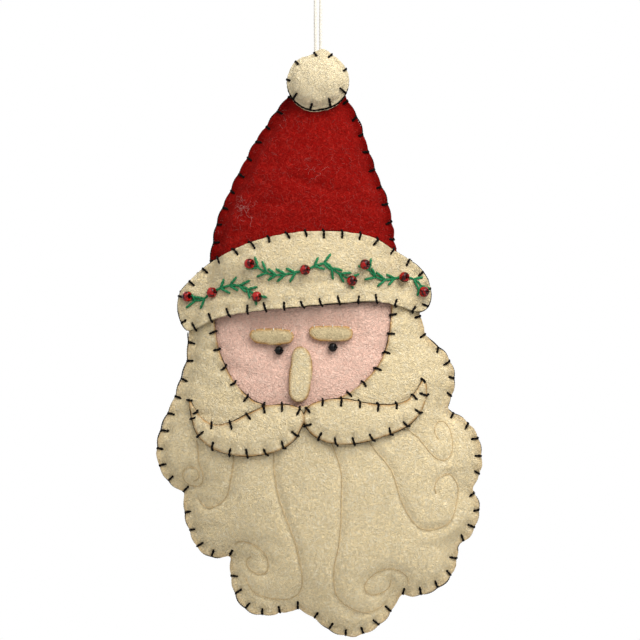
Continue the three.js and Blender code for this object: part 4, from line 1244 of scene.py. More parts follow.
def hand_sewn(rim, pitch, seed, hidden, shown, reach_share=1, past=None, pucker=0, outline=None):
    """A seam sewn by hand: its edge thread, and its legs, each a little off in length, lean and hook"""
    chance = random.Random(seed)
    sewing = bpy.context.scene.ornament_sewing
    reach = reach_share * sewing.reach
    past = sewing.diameter / 4 if past is None else past
    legs = []
    for i in every_pitch(rim.at, pitch, pitch / 2):
        out = rim.out[i]
        along = np.array([-out[1], out[0]])
        lean = chance.uniform(-LEAN_SHARE, LEAN_SHARE) * reach * along
        hook = chance.uniform(0, HOOK_SHARE) * sewing.diameter * along
        stretch = chance.uniform(*STRETCH_SHARES)
        edge = rim.edge[i] - out * pucker
        inner = edge - out * reach * stretch + lean
        if outline is not None and depth_in(inner[None], outline)[0] < reach / 2:
            inner = (inner + edge) / 2
        legs.append(Leg(inner, edge, edge + out * past + hook, out))
    run = edge_run(rim, hidden, shown, seed)
    return Seam(puckered(run, legs) if pucker else run, legs)


@lru_cache
def seams():
    """Where every row of blanket stitches runs, with its legs"""
    sewing = bpy.context.scene.ornament_sewing
    felt = bpy.context.scene.ornament_felt
    lines = outlines()
    room = 2 * GAP + sewing.diameter

    # How far outside the felt's edge a thread runs or a leg ends, negative inside it
    tucked = -0.0003
    open_out = {"beard_edge": 0.00012, "hat_left": 0.00006, "hat_right": 0.00012}
    under = -0.0004
    showing = -0.00022
    drawn_in = -0.00025
    reach_shares = {"beard_edge": 1, "hat_left": 0.9, "hat_right": 0.9, "left": 0.95, "right": 0.75}
    moustache_seed = 21
    window_seed = 31
    made = {}

    outer = rim_of(lines["silhouette"], GAP)
    clear_of_band = depth_in(outer.at, lines["band"]) < -room / 2
    pompom_reach = felt.pompom_diameter / 2 - felt.flange / 2
    clear_of_pompom = np.linalg.norm(outer.at - np.array(pompom_centre()), axis=1) > pompom_reach
    free = clear_of_band & clear_of_pompom
    above = outer.at[:, 1] > JOINT_LINE
    left = outer.at[:, 0] < 0
    runs = {"beard_edge": ~above, "hat_left": above & left, "hat_right": above & ~left}
    for seed, (name, there) in enumerate(runs.items()):
        made[name] = hand_sewn(
            longest_run(outer, free & there), sewing.pitch, seed, hidden=tucked, shown=open_out[name],
            reach_share=reach_shares[name], past=drawn_in, pucker=PUCKER)

    band = rim_of(lines["band"], GAP)
    made["band_front"] = hand_sewn(band, sewing.pitch, seed=11, hidden=under, shown=0)
    made["band_back"] = hand_sewn(band, sewing.back_pitch, seed=12, hidden=under, shown=0)

    meet = np.array(on_face(((0, 0),), (1, 1), moustache_meet())[0])
    for seed, side in enumerate(SIDES, moustache_seed):
        outline = lines[f"moustache_{side}"]
        run = rim_of(outline, GAP)
        run = longest_run(run, np.linalg.norm(run.at - meet, axis=1) > room)
        made[f"moustache_{side}"] = hand_sewn(
            run, sewing.pitch, seed, hidden=showing, shown=0, outline=outline)

    inner = rim_of(lines["window"], -GAP)
    inner = Rim(inner.edge, -inner.out, inner.at)
    clear = np.ones(len(inner.at), dtype=bool)
    for name in ("band", "moustache_left", "moustache_right"):
        clear &= depth_in(inner.at, lines[name]) < -room / 2
    middle = NOSE_FOOT_SHARE * WINDOW_SIZE[0]
    halves = {"left": inner.at[:, 0] < middle, "right": inner.at[:, 0] > middle}
    for seed, (side, there) in enumerate(halves.items(), window_seed):
        made[f"window_{side}"] = hand_sewn(
            longest_run(inner, clear & there), sewing.pitch, seed, hidden=under, shown=0,
            reach_share=reach_shares[side], past=sewing.diameter / 3)
    return made


def pressed_places(*names):
    """Where the legs of some seams go into the felt"""
    return [leg.inner for name in names for leg in seams()[name].legs]


def both_ends(share):
    """The thickness of a thread along its way, thinner where it goes into the felt at either end"""
    end_share = 0.6
    growth = 3.2
    return min(1, end_share + growth * min(share, 1 - share))


def leg_over(leg, lay, radius):
    """A leg's way over one face of the felt: out of the felt and on to its edge"""
    thickness = bpy.context.scene.ornament_felt.thickness
    way = between_places(leg.inner, leg.edge)
    start = over(way[:1] - leg.out * radius, lay.outer, lay.side, -thickness / 2)
    return np.vstack([start, over(way, lay.outer, lay.side, LEG_RISE_SHARE * radius)])


def sewn_mesh(run, legs, sewing):
    """The edge thread and the legs of a seam, as one mesh"""
    legs = [smooth_line(leg.tolist(), sewing.diameter / 2) for leg in legs]
    return joined(
        thread_mesh([run], sewing.run_diameter), thread_mesh(legs, sewing.diameter, swell=both_ends))


def edge_sewing(seam, front, back):
    """Blanket stitches round a seam: a thread along the edge, and legs over the front and the back"""
    sewing = bpy.context.scene.ornament_sewing
    radius = sewing.diameter / 2
    run = np.column_stack([seam.run[:, 0], 0 * seam.run[:, 0], seam.run[:, 1]])
    legs = []
    for leg in seam.legs:
        turn = np.array([[leg.outer[0], 0, leg.outer[1]]])
        behind = leg_over(leg, back, radius)[::-1]
        legs.append(np.vstack([leg_over(leg, front, radius), turn, behind]))
    return sewn_mesh(run, legs, sewing)


def applied_sewing(seam, lay, base):
    """Blanket stitches of an applique: the edge thread is drawn in under its edge, the legs go over it"""
    sewing = bpy.context.scene.ornament_sewing
    radius = sewing.diameter / 2
    form = stuffed_form()
    run = over(seam.run, base, lay.side, sewing.run_diameter / 2)
    legs = []
    for leg in seam.legs:
        outer = leg.outer
        onward = leg.out * radius
        if form.read(form.depth, outer[None])[0] < radius:
            outer = leg.edge - leg.out * radius / 2
            onward = -onward
        low = over(outer[None], base, lay.side, LEG_RISE_SHARE * radius)
        end = over((outer + onward)[None], base, lay.side, -radius)
        legs.append(np.vstack([leg_over(leg, lay, radius), low, end]))
    return sewn_mesh(run, legs, sewing)


# Beads


def bead_mesh(diameter, bore, centre, turn):
    """A rounded glass bead, spun round its bore and turned to the way it lies"""
    wall = (diameter - bore) / 4
    length_share = 2
    weld = GAP / 50
    bm = bmesh.new()
    ring = bmesh.ops.create_circle(bm, segments=14, radius=wall)["verts"]
    bmesh.ops.scale(bm, verts=ring, vec=(1, length_share, 1))
    bmesh.ops.translate(bm, verts=ring, vec=(bore / 2 + wall, 0, 0))
    bmesh.ops.spin(bm, geom=bm.verts[:] + bm.edges[:], cent=(0, 0, 0), axis=(0, 1, 0), angle=2 * math.pi,
                   steps=28, use_merge=True)
    bmesh.ops.remove_doubles(bm, verts=bm.verts[:], dist=weld)
    bmesh.ops.recalc_face_normals(bm, faces=bm.faces[:])
    matrix = Matrix.Translation(centre) @ Euler(turn).to_matrix().to_4x4()
    bmesh.ops.transform(bm, matrix=matrix, verts=bm.verts[:])

    # The spin leaves the faces in another order each run
    bm.verts.index_update()
    order = sorted(bm.faces, key=lambda face: [vertex.index for vertex in face.verts])
    places = {face: place for place, face in enumerate(order)}
    bm.faces.sort(key=places.get)
    return new_mesh("bead", bm)


def bead_tie(diameter, centre, turn, levels):
    """The thread that holds a bead: out of the felt, through its bore and back in"""
    along = np.array(Euler(turn).to_matrix() @ Vector((0, diameter, 0)))
    ends = [centre - along / 2, centre + along / 2]
    feet = [over(end[None, [0, 2]], levels, FRONT, -GAP)[0] for end in ends]
    return smooth_line([tuple(point) for point in (feet[0], ends[0], centre, ends[1], feet[1])])


# Operators

LIGHTS = {
    "key light": {"size": 0.55, "offset": (0.28, -0.38, 0.5)},
    "fill light": {"size": 0.6, "offset": (-0.48, -0.5, 0.68)},
    "back light": {"size": 0.6, "offset": (-0.35, 0.75, 0.25)},
}


class OrnamentStage(bpy.types.Operator):
    """Camera at the photograph's angle, soft light from the right and a pale floor"""

    bl_idname = "ornament.stage"
    bl_label = "Stage"

    def execute(self, context):
        stage = context.scene.ornament_stage
        view_centre = Vector((0.00052, 0, -0.12775))
        camera = bpy.data.cameras.new("camera")
        camera.sensor_width = 36
        camera.lens = camera.sensor_width * stage.camera_distance / stage.frame_width
        self.stand(context, camera, view_centre + Vector((0, -stage.camera_distance, 0)), view_centre)
        context.scene.camera = context.scene.objects["camera"]
        powers = {
            "key light": stage.key_power, "fill light": stage.fill_power, "back light": stage.back_power}
        for name, power in powers.items():
            light = bpy.data.lights.new(name, "AREA")
            light.energy = power
            light.size = LIGHTS[name]["size"]
            self.stand(context, light, view_centre + Vector(LIGHTS[name]["offset"]), view_centre)
        self.add_floor(context)
        self.add_sky(context, stage)
        context.scene.view_settings.view_transform = "Standard"
        return {"FINISHED"}

    def stand(self, context, data, place, target):
        """Puts a camera or light at a place, aimed at a target"""
        thing = bpy.data.objects.new(data.name, data)
        thing.location = place
        thing.rotation_euler = (target - place).to_track_quat("-Z", "Y").to_euler()
        context.collection.objects.link(thing)

    def add_floor(self, context):
        """A pale round floor below the ornament, out of the camera's view, that fades towards its rim"""
        radius = 0.42
        floor_height = -0.3
        fade_start = 0.15 * radius
        fade_end = 0.97 * radius
        bm = bmesh.new()
        bmesh.ops.create_circle(bm, cap_ends=True, segments=96, radius=radius)
        bmesh.ops.translate(bm, verts=bm.verts[:], vec=(0, 0, floor_height))
        floor = bpy.data.objects.new("floor", new_mesh("floor", bm))
        context.collection.objects.link(floor)
        material, tree, shader, places = new_material("pale floor")
        speck = grain(tree, places, scale=60)
        shade = mixed(tree, speck, rgba(WHITE, share=0.84), rgba(WHITE, share=0.88))
        level = add_node(tree, "ShaderNodeVectorMath", {0: places, 1: (0, 0, -floor_height)}, operation="ADD")
        away = add_node(tree, "ShaderNodeVectorMath", {0: level.outputs["Vector"]}, operation="LENGTH")
        fade = between(tree, away.outputs["Value"], fade_start, fade_end)
        feed(tree, shader, {
            "Base Color": shade, "Roughness": 0.9, "Alpha": worked_out(tree, "SUBTRACT", 1, fade)})
        floor.data.materials.append(material)
        floor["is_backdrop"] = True

    def add_sky(self, context, stage):
        """An even sky that is plain white where it is seen"""
        world = bpy.data.worlds.new("even light")
        world.use_nodes = True
        tree = world.node_tree
        tree.nodes.clear()
        rays = add_node(tree, "ShaderNodeLightPath").outputs
        seen = rays["Is Camera Ray"]
        for name in ("Is Glossy Ray", "Is Transmission Ray"):
            seen = worked_out(tree, "MAXIMUM", seen, rays[name])
        light = add_node(tree, "ShaderNodeBackground", {"Color": rgba(WHITE), "Strength": stage.sky})
        white = add_node(tree, "ShaderNodeBackground", {"Color": rgba(WHITE), "Strength": 1})
        mix = add_node(tree, "ShaderNodeMixShader", {0: seen, 1: light.outputs[0], 2: white.outputs[0]})
        add_node(tree, "ShaderNodeOutputWorld", {"Surface": mix.outputs[0]})
        context.scene.world = world


class OrnamentHangingLoop(bpy.types.Operator):
    """The loop of cotton cord and its knotted tails inside the hat's tip"""

    bl_idname = "ornament.hanging_loop"
    bl_label = "Hanging loop"

    def execute(self, context):
        cord = context.scene.ornament_cord
        mouth = Vector(LOOP_EXIT)
        right = [(across, 0, mouth.z + up) for across, up in LOOP_ROUTE]
        left = [(-across, 0, mouth.z + up) for across, up in reversed(LOOP_ROUTE)]
        top = (LOOP_TOP[0], 0, mouth.z + LOOP_TOP[1])
        path = smooth_line([*right, top, *left], cord.diameter)
        loop = put("hanging_cord", thread_mesh([path], cord.diameter, plies=3), "cord_white", "hanging_loop",
                   body=LOOP_BODY)
        knot_height = mouth.z - TAIL_LENGTH
        paths = []
        for across in (-LOOP_ROUTE[0][0], LOOP_ROUTE[0][0]):
            middle = mouth.z - TAIL_LENGTH / 2
            tail = [(across, 0, mouth.z - GAP), (across, 0, middle), (0, 0, knot_height)]
            paths.append(smooth_line(tail, cord.diameter / 2))
        paths.append(self.knot(cord.diameter, knot_height))
        tails = put("knotted_tails", thread_mesh(paths, cord.diameter, plies=3), "cord_white",
                    "loop_tails", body=None)
        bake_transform(tails)
        return {"FINISHED"}

    def knot(self, radius, height):
        """The way of the cord round its knot, flattened from front to back"""
        rounds = 2
        points = 24
        flatness = 0.4
        turns = np.linspace(0, 2 * math.pi * rounds, points)
        rise = radius * (turns / (2 * math.pi) - rounds / 2)
        return np.column_stack([radius * np.cos(turns), flatness * radius * np.sin(turns), height + rise])


class OrnamentFilling(bpy.types.Operator):
    """The fibre filling of the head, sealed between the felts"""

    bl_idname = "ornament.filling"
    bl_label = "Filling"

    def execute(self, context):
        felt = context.scene.ornament_felt
        form = stuffed_form()
        inset = 1.6 * felt.flange
        below_tip = JOINT_LINE + 0.7 * HAT_SIZE[1]
        room = 5 * GAP
        inner = divided(rim_of(outlines()["silhouette"], -inset).at, COARSE_STEP, closed=True)
        inner = inner[inner[:, 1] < below_tip]

        def levels(places):
            behind_face = felt.thickness + room + face_dip(places)
            front = np.maximum(form.level(FRONT, places) - behind_face, GAP)
            return np.maximum(form.level(BACK, places) - room, GAP), -front

        wad = layered(cut_felt(inner, felt.flange, voxel=COARSE_STEP), felt.flange, levels)
        piece = put("fibre_filling", wad, "filling", "stuffing")
        return {"FINISHED"}


class OrnamentHat(bpy.types.Operator):
    """The red felt of the hat, front and back"""

    bl_idname = "ornament.hat"
    bl_label = "Hat"

    def execute(self, context):
        thickness = context.scene.ornament_felt.thickness
        for name in FACES:
            felt = laid(cut_felt(outlines()["hat"], thickness), lays()[f"hat_{name}"])
            # Painted shade: the red darkened along the hat's sewn flange
            felt = singed_and_shaded(felt, outlines()["silhouette"], width=FLANGE_SHADE_WIDTH)
            piece = put(f"hat_felt_{name}", felt, "felt_red", f"hat_{name}")
            sheet_area("hat")
        return {"FINISHED"}


class OrnamentBeard(bpy.types.Operator):
    """The scalloped cream felt of the beard, with the window for the face in its front"""

    bl_idname = "ornament.beard"
    bl_label = "Beard"

    def execute(self, context):
        thickness = context.scene.ornament_felt.thickness
        window = outlines()["window"]
        below_hat = np.array([0, -GAP])
        outline = outlines()["beard"] + below_hat
        top = outline[0, 1]
        foot = window[1:-3]
        first, last = window[0, 0], window[-3, 0]
        cut = np.vstack([outline[:1], [(first, top)], foot, [(last, outline[-1, 1])], outline[:0:-1]])
        front = laid(cut_felt(cut, thickness), lays()["beard_front"])
        # Browned edge round the window, and painted shade along the beard's outer rim
        piece = put("beard_felt_front", singed_and_shaded(front, window, outline), "felt_cream", "beard_front")
        sheet_area("beard") - sheet_area("window")
        back = laid(cut_felt(outline, thickness), lays()["beard_back"])
        piece = put("beard_felt_back", back, "felt_cream", "beard_back")
        sheet_area("beard")
        return {"FINISHED"}


class OrnamentFace(bpy.types.Operator):
    """The pink face panel under the beard's window, with the nose and eyebrows on it"""

    bl_idname = "ornament.face"
    bl_label = "Face"
    seed = 7
    stitch_pitch = 0.0023
    stitch_shares = (0.2, 0.6)
    thread_share = 0.6
    upwards = 0.6

    def execute(self, context):
        felt = context.scene.ornament_felt
        inside_edge = 1.4 * felt.flange
        form = stuffed_form()
        line = outlines()["panel"]
        line = line[form.read(form.depth, line) > inside_edge]
        line = line[line[:, 1] < JOINT_LINE + PANEL_LAP]
        panel = laid(cut_felt(line, felt.thickness), lays()["panel"])
        piece = put("face_felt", panel, "felt_pink", "face_panel")
        for name, finish in (("nose", None), ("eyebrow_left", "brow_felt"), ("eyebrow_right", "brow_felt")):
            line = outlines()[name]
            mesh = laid(cut_felt(line, felt.thickness), lays()[name])
            put(f"{name}_felt", singed_and_shaded(mesh, line), "felt_cream", name, finish=finish)
        chance = random.Random(self.seed)
        stitches = [stitch for side in SIDES for stitch in self.brow_stitches(side, chance, felt.thickness)]
        diameter = self.thread_share * context.scene.ornament_trim.curl_diameter
        put("brow_stitches", thread_mesh(stitches, diameter, plies=1), "thread_tan", finish="cord_white")
        return {"FINISHED"}

    def brow_stitches(self, side, chance, thickness):
        """The pale stitches over the top of an eyebrow"""
        name = f"eyebrow_{side}"
        rim = rim_of(outlines()[name], GAP)
        for i in every_pitch(rim.edge, self.stitch_pitch, 0):
            edge, out = rim.edge[i], rim.out[i]
            if out[1] >= self.upwards:
                inner = edge - out * chance.uniform(*self.stitch_shares) * thickness
                over_felt = over(between_places(inner, edge, 2), lays()[name].outer, FRONT, GAP / 2)
                yield np.vstack([over_felt, over((edge + GAP * out)[None], on_panel, FRONT, 0)])


class OrnamentMoustache(bpy.types.Operator):
    """The two halves of the moustache"""

    bl_idname = "ornament.moustache"
    bl_label = "Moustache"

    def execute(self, context):
        thickness = context.scene.ornament_felt.thickness
        for side, size in MOUSTACHE_SIZES.items():
            name = f"moustache_{side}"
            line = outlines()[name]
            felt = laid(cut_felt(line, thickness), lays()[name])
            piece = put(f"moustache_felt_{side}", singed_and_shaded(felt, line), "felt_cream", name)
            sheet_area(name)
        return {"FINISHED"}


class OrnamentBand(bpy.types.Operator):
    """The cream band of the hat, front and back"""

    bl_idname = "ornament.band"
    bl_label = "Hat band"

    def execute(self, context):
        thickness = context.scene.ornament_felt.thickness
        for name in FACES:
            felt = laid(cut_felt(outlines()["band"], thickness), lays()[f"band_{name}"])
            piece = put(f"band_felt_{name}", felt, "felt_cream", f"hat_band_{name}")
            sheet_area("band")
        return {"FINISHED"}


class OrnamentPompom(bpy.types.Operator):
    """The pompom: two felt rounds with filling between them, sewn to the front of the hat's tip"""

    bl_idname = "ornament.pompom"
    bl_label = "Pompom"
    flange = 0.0009
    back_crown = 0.003
    wrinkle_length = 0.0026
    wrinkle_depth = 0.00028
    wrinkle_rise = 4
    press_share = 0.4
    pitch_share = 1.08
    upper_reach = 0.62

    def execute(self, context):
        felt = context.scene.ornament_felt
        sewing = context.scene.ornament_sewing
        radius = felt.pompom_diameter / 2
        centre = np.array(pompom_centre())
        corners = [tuple(centre + radius * np.array(share)) for share in POMPOM_SHARES]
        line = smooth_line(corners, closed=True)
        rim = rim_of(line, GAP)
        pitch = self.pitch_share * sewing.pitch
        seam = hand_sewn(rim, pitch, seed=41, hidden=0, shown=0, past=-sewing.diameter / 2)
        back_level = -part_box("pompom_back")[1][1]
        front_level = back_level + felt.thickness + GAP
        hat = lays()["hat_front"]

        def share_in(places):
            """How far in from the flat rim places lie, from 0 to 1 in the middle"""
            return np.clip(depth_in(places, line) - self.flange, 0, radius) / (radius - self.flange)

        def domed(share):
            """The height of a dome, from 0 at its rim to 1 in the middle"""
            return np.sqrt(np.clip(1 - (1 - share) ** 2, 0, 1))

        def bulge(places):
            """How far the front bulges, with wrinkles in the felt"""
            share = share_in(places)
            wrinkle = np.array([noise.noise(Vector((x, z, 0)) / self.wrinkle_length) for x, z in places])
            rise = np.clip(self.wrinkle_rise * share, 0, 1)
            return felt.pompom_crown * domed(share) + self.wrinkle_depth * wrinkle * rise

        def sag(places):
            """How far the back bulges towards the hat, on which it lies"""
            over_hat = depth_in(places, outlines()["silhouette"]) > 0
            room = back_level - GAP - np.where(over_hat, hat.outer(places), 0)
            return np.clip(self.back_crown * domed(share_in(places)), 0, np.maximum(room, 0))

        def back(places):
            return back_level - sag(places)

        def front(places):
            return front_level + bulge(places)

        def filling_levels(places):
            low = front_level - sag(places)
            return -low, -(front_level + np.maximum(bulge(places) - 2 * GAP, GAP))

        drop = 6 * GAP
        behind_seam = line - np.array([0, drop])
        self.lay("back", cut_felt(behind_seam, felt.thickness), back, ())
        self.lay("front", cut_felt(line, felt.thickness), front, [leg.inner for leg in seam.legs])
        wad = cut_felt(rim_of(line, -self.flange).at, felt.thickness)
        wad = layered(wad, felt.thickness, filling_levels)
        put("pompom_filling", wad, "filling", "pompom_stuffing")
        self.sew(seam, front, front_level, sewing, felt)
        return {"FINISHED"}

    def lay(self, name, mesh, levels, pressed_at):
        """Lays a flat round of felt on its levels, pressed in where it is sewn"""
        points = coordinates(mesh)
        places = points[:, [0, 2]]
        lifted = levels(places) - points[:, 1]
        if len(pressed_at):
            depth = self.press_share * bpy.context.scene.ornament_felt.thickness
            lifted -= depth * dents(places, pressed_at, LINE_STEP)
        points[:, 1] = -lifted
        put(f"pompom_felt_{name}", moved(mesh, points), "felt_cream", f"pompom_{name}", finish="bright_felt")

    def sew(self, seam, front, front_level, sewing, felt):
        """Blanket stitches round the pompom, whose edge thread shows below and hides behind the felt above"""
        radius = sewing.diameter / 2
        steepness = 1.6
        hidden = 1.2
        shown = 1.4
        centre = np.array(pompom_centre())
        outward = seam.run - centre
        outward /= np.linalg.norm(outward, axis=1)[:, None]
        low = np.clip(-steepness * outward[:, 1:], 0, 1)
        run = seam.run + outward * radius * (shown * low - hidden)
        paths = [np.column_stack([run[:, 0], 0 * run[:, 0] - front_level, run[:, 1]])]
        for leg in seam.legs:
            reach = self.upper_reach if leg.edge[1] > centre[1] else 1
            way = between_places(leg.edge + reach * (leg.inner - leg.edge), leg.edge)
            start = over(way[:1] - leg.out * radius, front, FRONT, felt.thickness / 2)
            over_felt = over(way, front, FRONT, felt.thickness + LEG_RISE_SHARE * radius)
            turn = np.array([[leg.outer[0], -front_level, leg.outer[1]]])
            paths.append(smooth_line(np.vstack([start, over_felt, turn]).tolist(), radius))
        put("pompom_thread", thread_mesh(paths, sewing.diameter), "thread_black", "pompom_stitching")


class OrnamentEdgeStitches(bpy.types.Operator):
    """Black blanket stitches round hat and beard"""

    bl_idname = "ornament.edge_stitches"
    bl_label = "Edge stitches"

    def execute(self, context):
        rows = {
            "beard_edge": "beard_edge_stitching",
            "hat_left": "hat_stitching_left",
            "hat_right": "hat_stitching_right",
        }
        for name, node in rows.items():
            piece = name.split("_")[0]
            mesh = edge_sewing(seams()[name], lays()[f"{piece}_front"], lays()[f"{piece}_back"])
            put(f"{name}_thread", mesh, "thread_black", node)
        return {"FINISHED"}


class OrnamentAppliedStitches(bpy.types.Operator):
    """Black blanket stitches of band, moustache and face window"""

    bl_idname = "ornament.applied_stitches"
    bl_label = "Applique stitches"

    def execute(self, context):
        for name, side in FACES.items():
            mesh = applied_sewing(seams()[f"band_{name}"], lays()[f"band_{name}"], band_levels(side))
            put(f"band_thread_{name}", mesh, "thread_black", f"hat_band_stitching_{name}")
        for side in SIDES:
            mesh = applied_sewing(seams()[f"moustache_{side}"], lays()[f"moustache_{side}"], on_felt(FRONT))
            put(f"moustache_thread_{side}", mesh, "thread_black", f"moustache_stitching_{side}")
            mesh = applied_sewing(seams()[f"window_{side}"], lays()["beard_front"], on_panel)
            put(f"window_thread_{side}", mesh, "thread_black", f"window_stitching_{side}")
        return {"FINISHED"}


class OrnamentSprigs(bpy.types.Operator):
    """Three sprigs of green feather stitch on the band, with berry beads"""

    bl_idname = "ornament.sprigs"
    bl_label = "Sprigs and berries"
    seed = 5
    pair_points = 4
    lean = 40
    lean_off = 9
    leaf_shares = (0.85, 1.12)
    bead_tilts = (0.75, 1.15)

    def fullness(self, share):
        """A leaf stitch's thickness, fullest in its middle"""
        end_share = 0.6
        swell = 0.6
        return end_share + swell * math.sin(math.pi * share)

    def execute(self, context):
        trim = context.scene.ornament_trim
        chance = random.Random(self.seed)
        levels = lays()["band_front"].outer
        count = 0
        ties = []
        for name, shares in SPRIG_SHARES.items():
            places = on_face(shares, BAND_SIZE)
            stem = smooth_line(places, trim.leaf_pitch / self.pair_points)
            middle = np.array(places[SPRIG_MIDDLE_POINTS[name]])
            centre = int(np.argmin(np.linalg.norm(stem - middle, axis=1)))
            paths = [over(stem, levels, FRONT, trim.vine_diameter / 4)]
            for i in range(centre % self.pair_points, len(stem) - 1, self.pair_points):
                if i not in (0, centre):
                    forward = stem[i + 1] - stem[i - 1]
                    forward *= (1 if i > centre else -1) / np.linalg.norm(forward)
                    paths += self.leaves(trim, chance, levels, stem[i], forward)
            leaves = thread_mesh(paths, trim.vine_diameter, swell=self.fullness)
            put(f"sprig_{name}", leaves, "thread_green", f"vine_{name}")
            for i in (0, centre, len(stem) - 1):
                count += 1
                place = over(stem[i][None], levels, FRONT, trim.berry / 2)[0]
                turn = (0, chance.uniform(0, 2 * math.pi), chance.uniform(*self.bead_tilts))
                bead = bead_mesh(trim.berry, trim.bore, place, turn)
                ties.append(bead_tie(trim.berry, place, turn, levels))
                put(f"berry_{count}", bead, "glass_red", f"berry_bead_{count}")
        put("berry_threads", thread_mesh(ties, trim.bore / 2, plies=1), "thread_black")
        return {"FINISHED"}

    def leaves(self, trim, chance, levels, start, forward):
        """The ways of a pair of leaf stitches, one to each hand of the stem"""
        radius = trim.vine_diameter / 2
        for hand in (-1, 1):
            turn = hand * math.radians(self.lean + chance.uniform(-self.lean_off, self.lean_off))
            length = trim.leaf * chance.uniform(*self.leaf_shares)
            way = np.array([forward[0] * math.cos(turn) - forward[1] * math.sin(turn),
                            forward[0] * math.sin(turn) + forward[1] * math.cos(turn)])
            leaf = over(between_places(start, start + length * way), levels, FRONT, radius)
            leaf[0, 1] += radius
            leaf[-1, 1] += 2 * radius
            yield leaf


class OrnamentLint(bpy.types.Operator):
    """Pale fibres of lint on the hat, loose and in three tufts"""

    bl_idname = "ornament.lint"
    bl_label = "Lint"
    seed = 3
    diameter = 0.000035
    step = 0.00021
    steps = (2, 8)
    bend = 0.35
    wander = 0.4
    loose_count = 1100
    tufts = ((-0.0195, -0.0985, 46), (-0.0008, -0.0895, 13), (-0.0085, -0.0735, 6))
    tuft_spread = (0.0013, 0.0015)
    edge_room = 0.0006

    def execute(self, context):
        chance = random.Random(self.seed)
        hat = outlines()["hat"]
        band = outlines()["band"]
        left, low = hat.min(axis=0)
        right, high = hat.max(axis=0)
        width, height = self.tuft_spread
        tufted = [(chance.gauss(x, width), chance.gauss(z, height))
                  for x, z, count in self.tufts for _ in range(count)]
        loose = [(chance.uniform(left, right), chance.uniform(low, high)) for _ in range(self.loose_count)]
        outer = lays()["hat_front"].outer
        for name, places in (("loose_lint", loose), ("lint_tufts", tufted)):
            fibres = []
            for place in places:
                fibre = self.curled(chance, place)
                if depth_in(fibre, hat).min() > self.edge_room and depth_in(fibre, band).max() < 0:
                    fibres.append(over(fibre, outer, FRONT, GAP / 2))
            put(name, thread_mesh(fibres, self.diameter, plies=1), "filling", finish=name)
        return {"FINISHED"}

    def curled(self, chance, place):
        """A fibre that wanders over the felt from a place"""
        heading = chance.uniform(0, 2 * math.pi)
        bend = chance.uniform(-self.bend, self.bend)
        line = [np.array(place)]
        for _ in range(chance.randint(*self.steps)):
            heading += bend + chance.uniform(-self.wander, self.wander)
            line.append(line[-1] + self.step * np.array([math.cos(heading), math.sin(heading)]))
        return np.array(line)


class OrnamentEyes(bpy.types.Operator):
    """Two black glass beads for eyes"""

    bl_idname = "ornament.eyes"
    bl_label = "Eyes"

    def execute(self, context):
        trim = context.scene.ornament_trim
        face = lays()["panel"].outer
        turn = (0, 0.5, 1.1)
        ties = []
        for side in SIDES:
            centre = over(np.array([eye_place(side)]), face, FRONT, trim.eye / 2)[0]
            bead = bead_mesh(trim.eye, trim.bore, centre, turn)
            put(f"eye_{side}", bead, "glass_black", f"eye_bead_{side}")
            ties.append(bead_tie(trim.eye, centre, turn, face))
        put("eye_threads", thread_mesh(ties, trim.bore / 2, plies=1), "thread_black")
        return {"FINISHED"}


class OrnamentCurls(bpy.types.Operator):
    """Curls of thin tan thread on the beard"""

    bl_idname = "ornament.curls"
    bl_label = "Beard curls"
    stitch_rise = 0.55
    stitch_sink = 0.2

    def execute(self, context):
        diameter = context.scene.ornament_trim.curl_diameter
        hidden = context.scene.ornament_felt.thickness
        top = lays()["beard_front"].outer
        for number, line in enumerate(curl_lines(), 1):
            for side in SIDES:
                line = line[depth_in(line, outlines()[f"moustache_{side}"]) < hidden]
            step = np.abs(np.sin(math.pi * np.arange(len(line)) / CURL_STITCH_POINTS))
            rise = diameter * (self.stitch_rise * step ** 0.5 - self.stitch_sink)
            thread = thread_mesh([over(line, top, FRONT, rise)], diameter)
            put(f"curl_{number}", thread, "thread_tan", f"beard_curl_{number}")
        return {"FINISHED"}


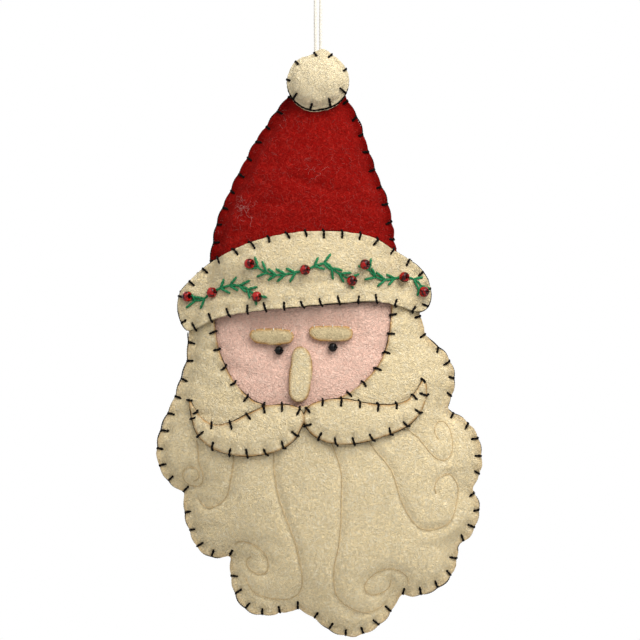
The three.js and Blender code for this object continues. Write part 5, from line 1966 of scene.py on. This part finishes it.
class OrnamentPanel(bpy.types.Panel):
    """Lists the pieces of the ornament"""

    bl_idname = "VIEW3D_PT_ornament"
    bl_label = "Felt ornament"
    bl_space_type = "VIEW_3D"
    bl_region_type = "UI"
    bl_category = "Ornament"

    def draw(self, context):
        for operator in OPERATORS:
            self.layout.operator(operator.bl_idname)
        for name in SETTINGS:
            settings = getattr(context.scene, name)
            box = self.layout.box()
            for value in settings.__annotations__:
                box.prop(settings, value)


SETTINGS = {
    "ornament_felt": FeltSettings,
    "ornament_sewing": SewingSettings,
    "ornament_trim": TrimSettings,
    "ornament_cord": CordSettings,
    "ornament_stage": StageSettings,
}
OPERATORS = (
    OrnamentStage, OrnamentHangingLoop, OrnamentFilling, OrnamentHat, OrnamentBeard, OrnamentFace,
    OrnamentMoustache, OrnamentBand, OrnamentPompom, OrnamentEdgeStitches, OrnamentAppliedStitches,
    OrnamentSprigs, OrnamentEyes, OrnamentCurls, OrnamentLint,
)
CLASSES = (*SETTINGS.values(), *OPERATORS, OrnamentPanel)


def register():
    for cls in CLASSES:
        bpy.utils.register_class(cls)
    for name, group in SETTINGS.items():
        setattr(bpy.types.Scene, name, PointerProperty(type=group))


def unregister():
    for name in SETTINGS:
        delattr(bpy.types.Scene, name)
    for cls in reversed(CLASSES):
        bpy.utils.unregister_class(cls)


def main():
    register()
    bpy.ops.ornament.stage()
    bpy.ops.ornament.hanging_loop()
    bpy.ops.ornament.filling()
    bpy.ops.ornament.hat()
    bpy.ops.ornament.beard()
    bpy.ops.ornament.face()
    bpy.ops.ornament.moustache()
    bpy.ops.ornament.band()
    bpy.ops.ornament.pompom()
    bpy.ops.ornament.edge_stitches()
    bpy.ops.ornament.applied_stitches()
    bpy.ops.ornament.sprigs()
    bpy.ops.ornament.eyes()
    bpy.ops.ornament.curls()
    bpy.ops.ornament.lint()
    boxes = {"cad": cad_box, "visual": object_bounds()}
    ({
        name: [[float(value) for value in corner] for corner in box]
        for name, box in boxes.items()})


if __name__ == "__main__":
    main()
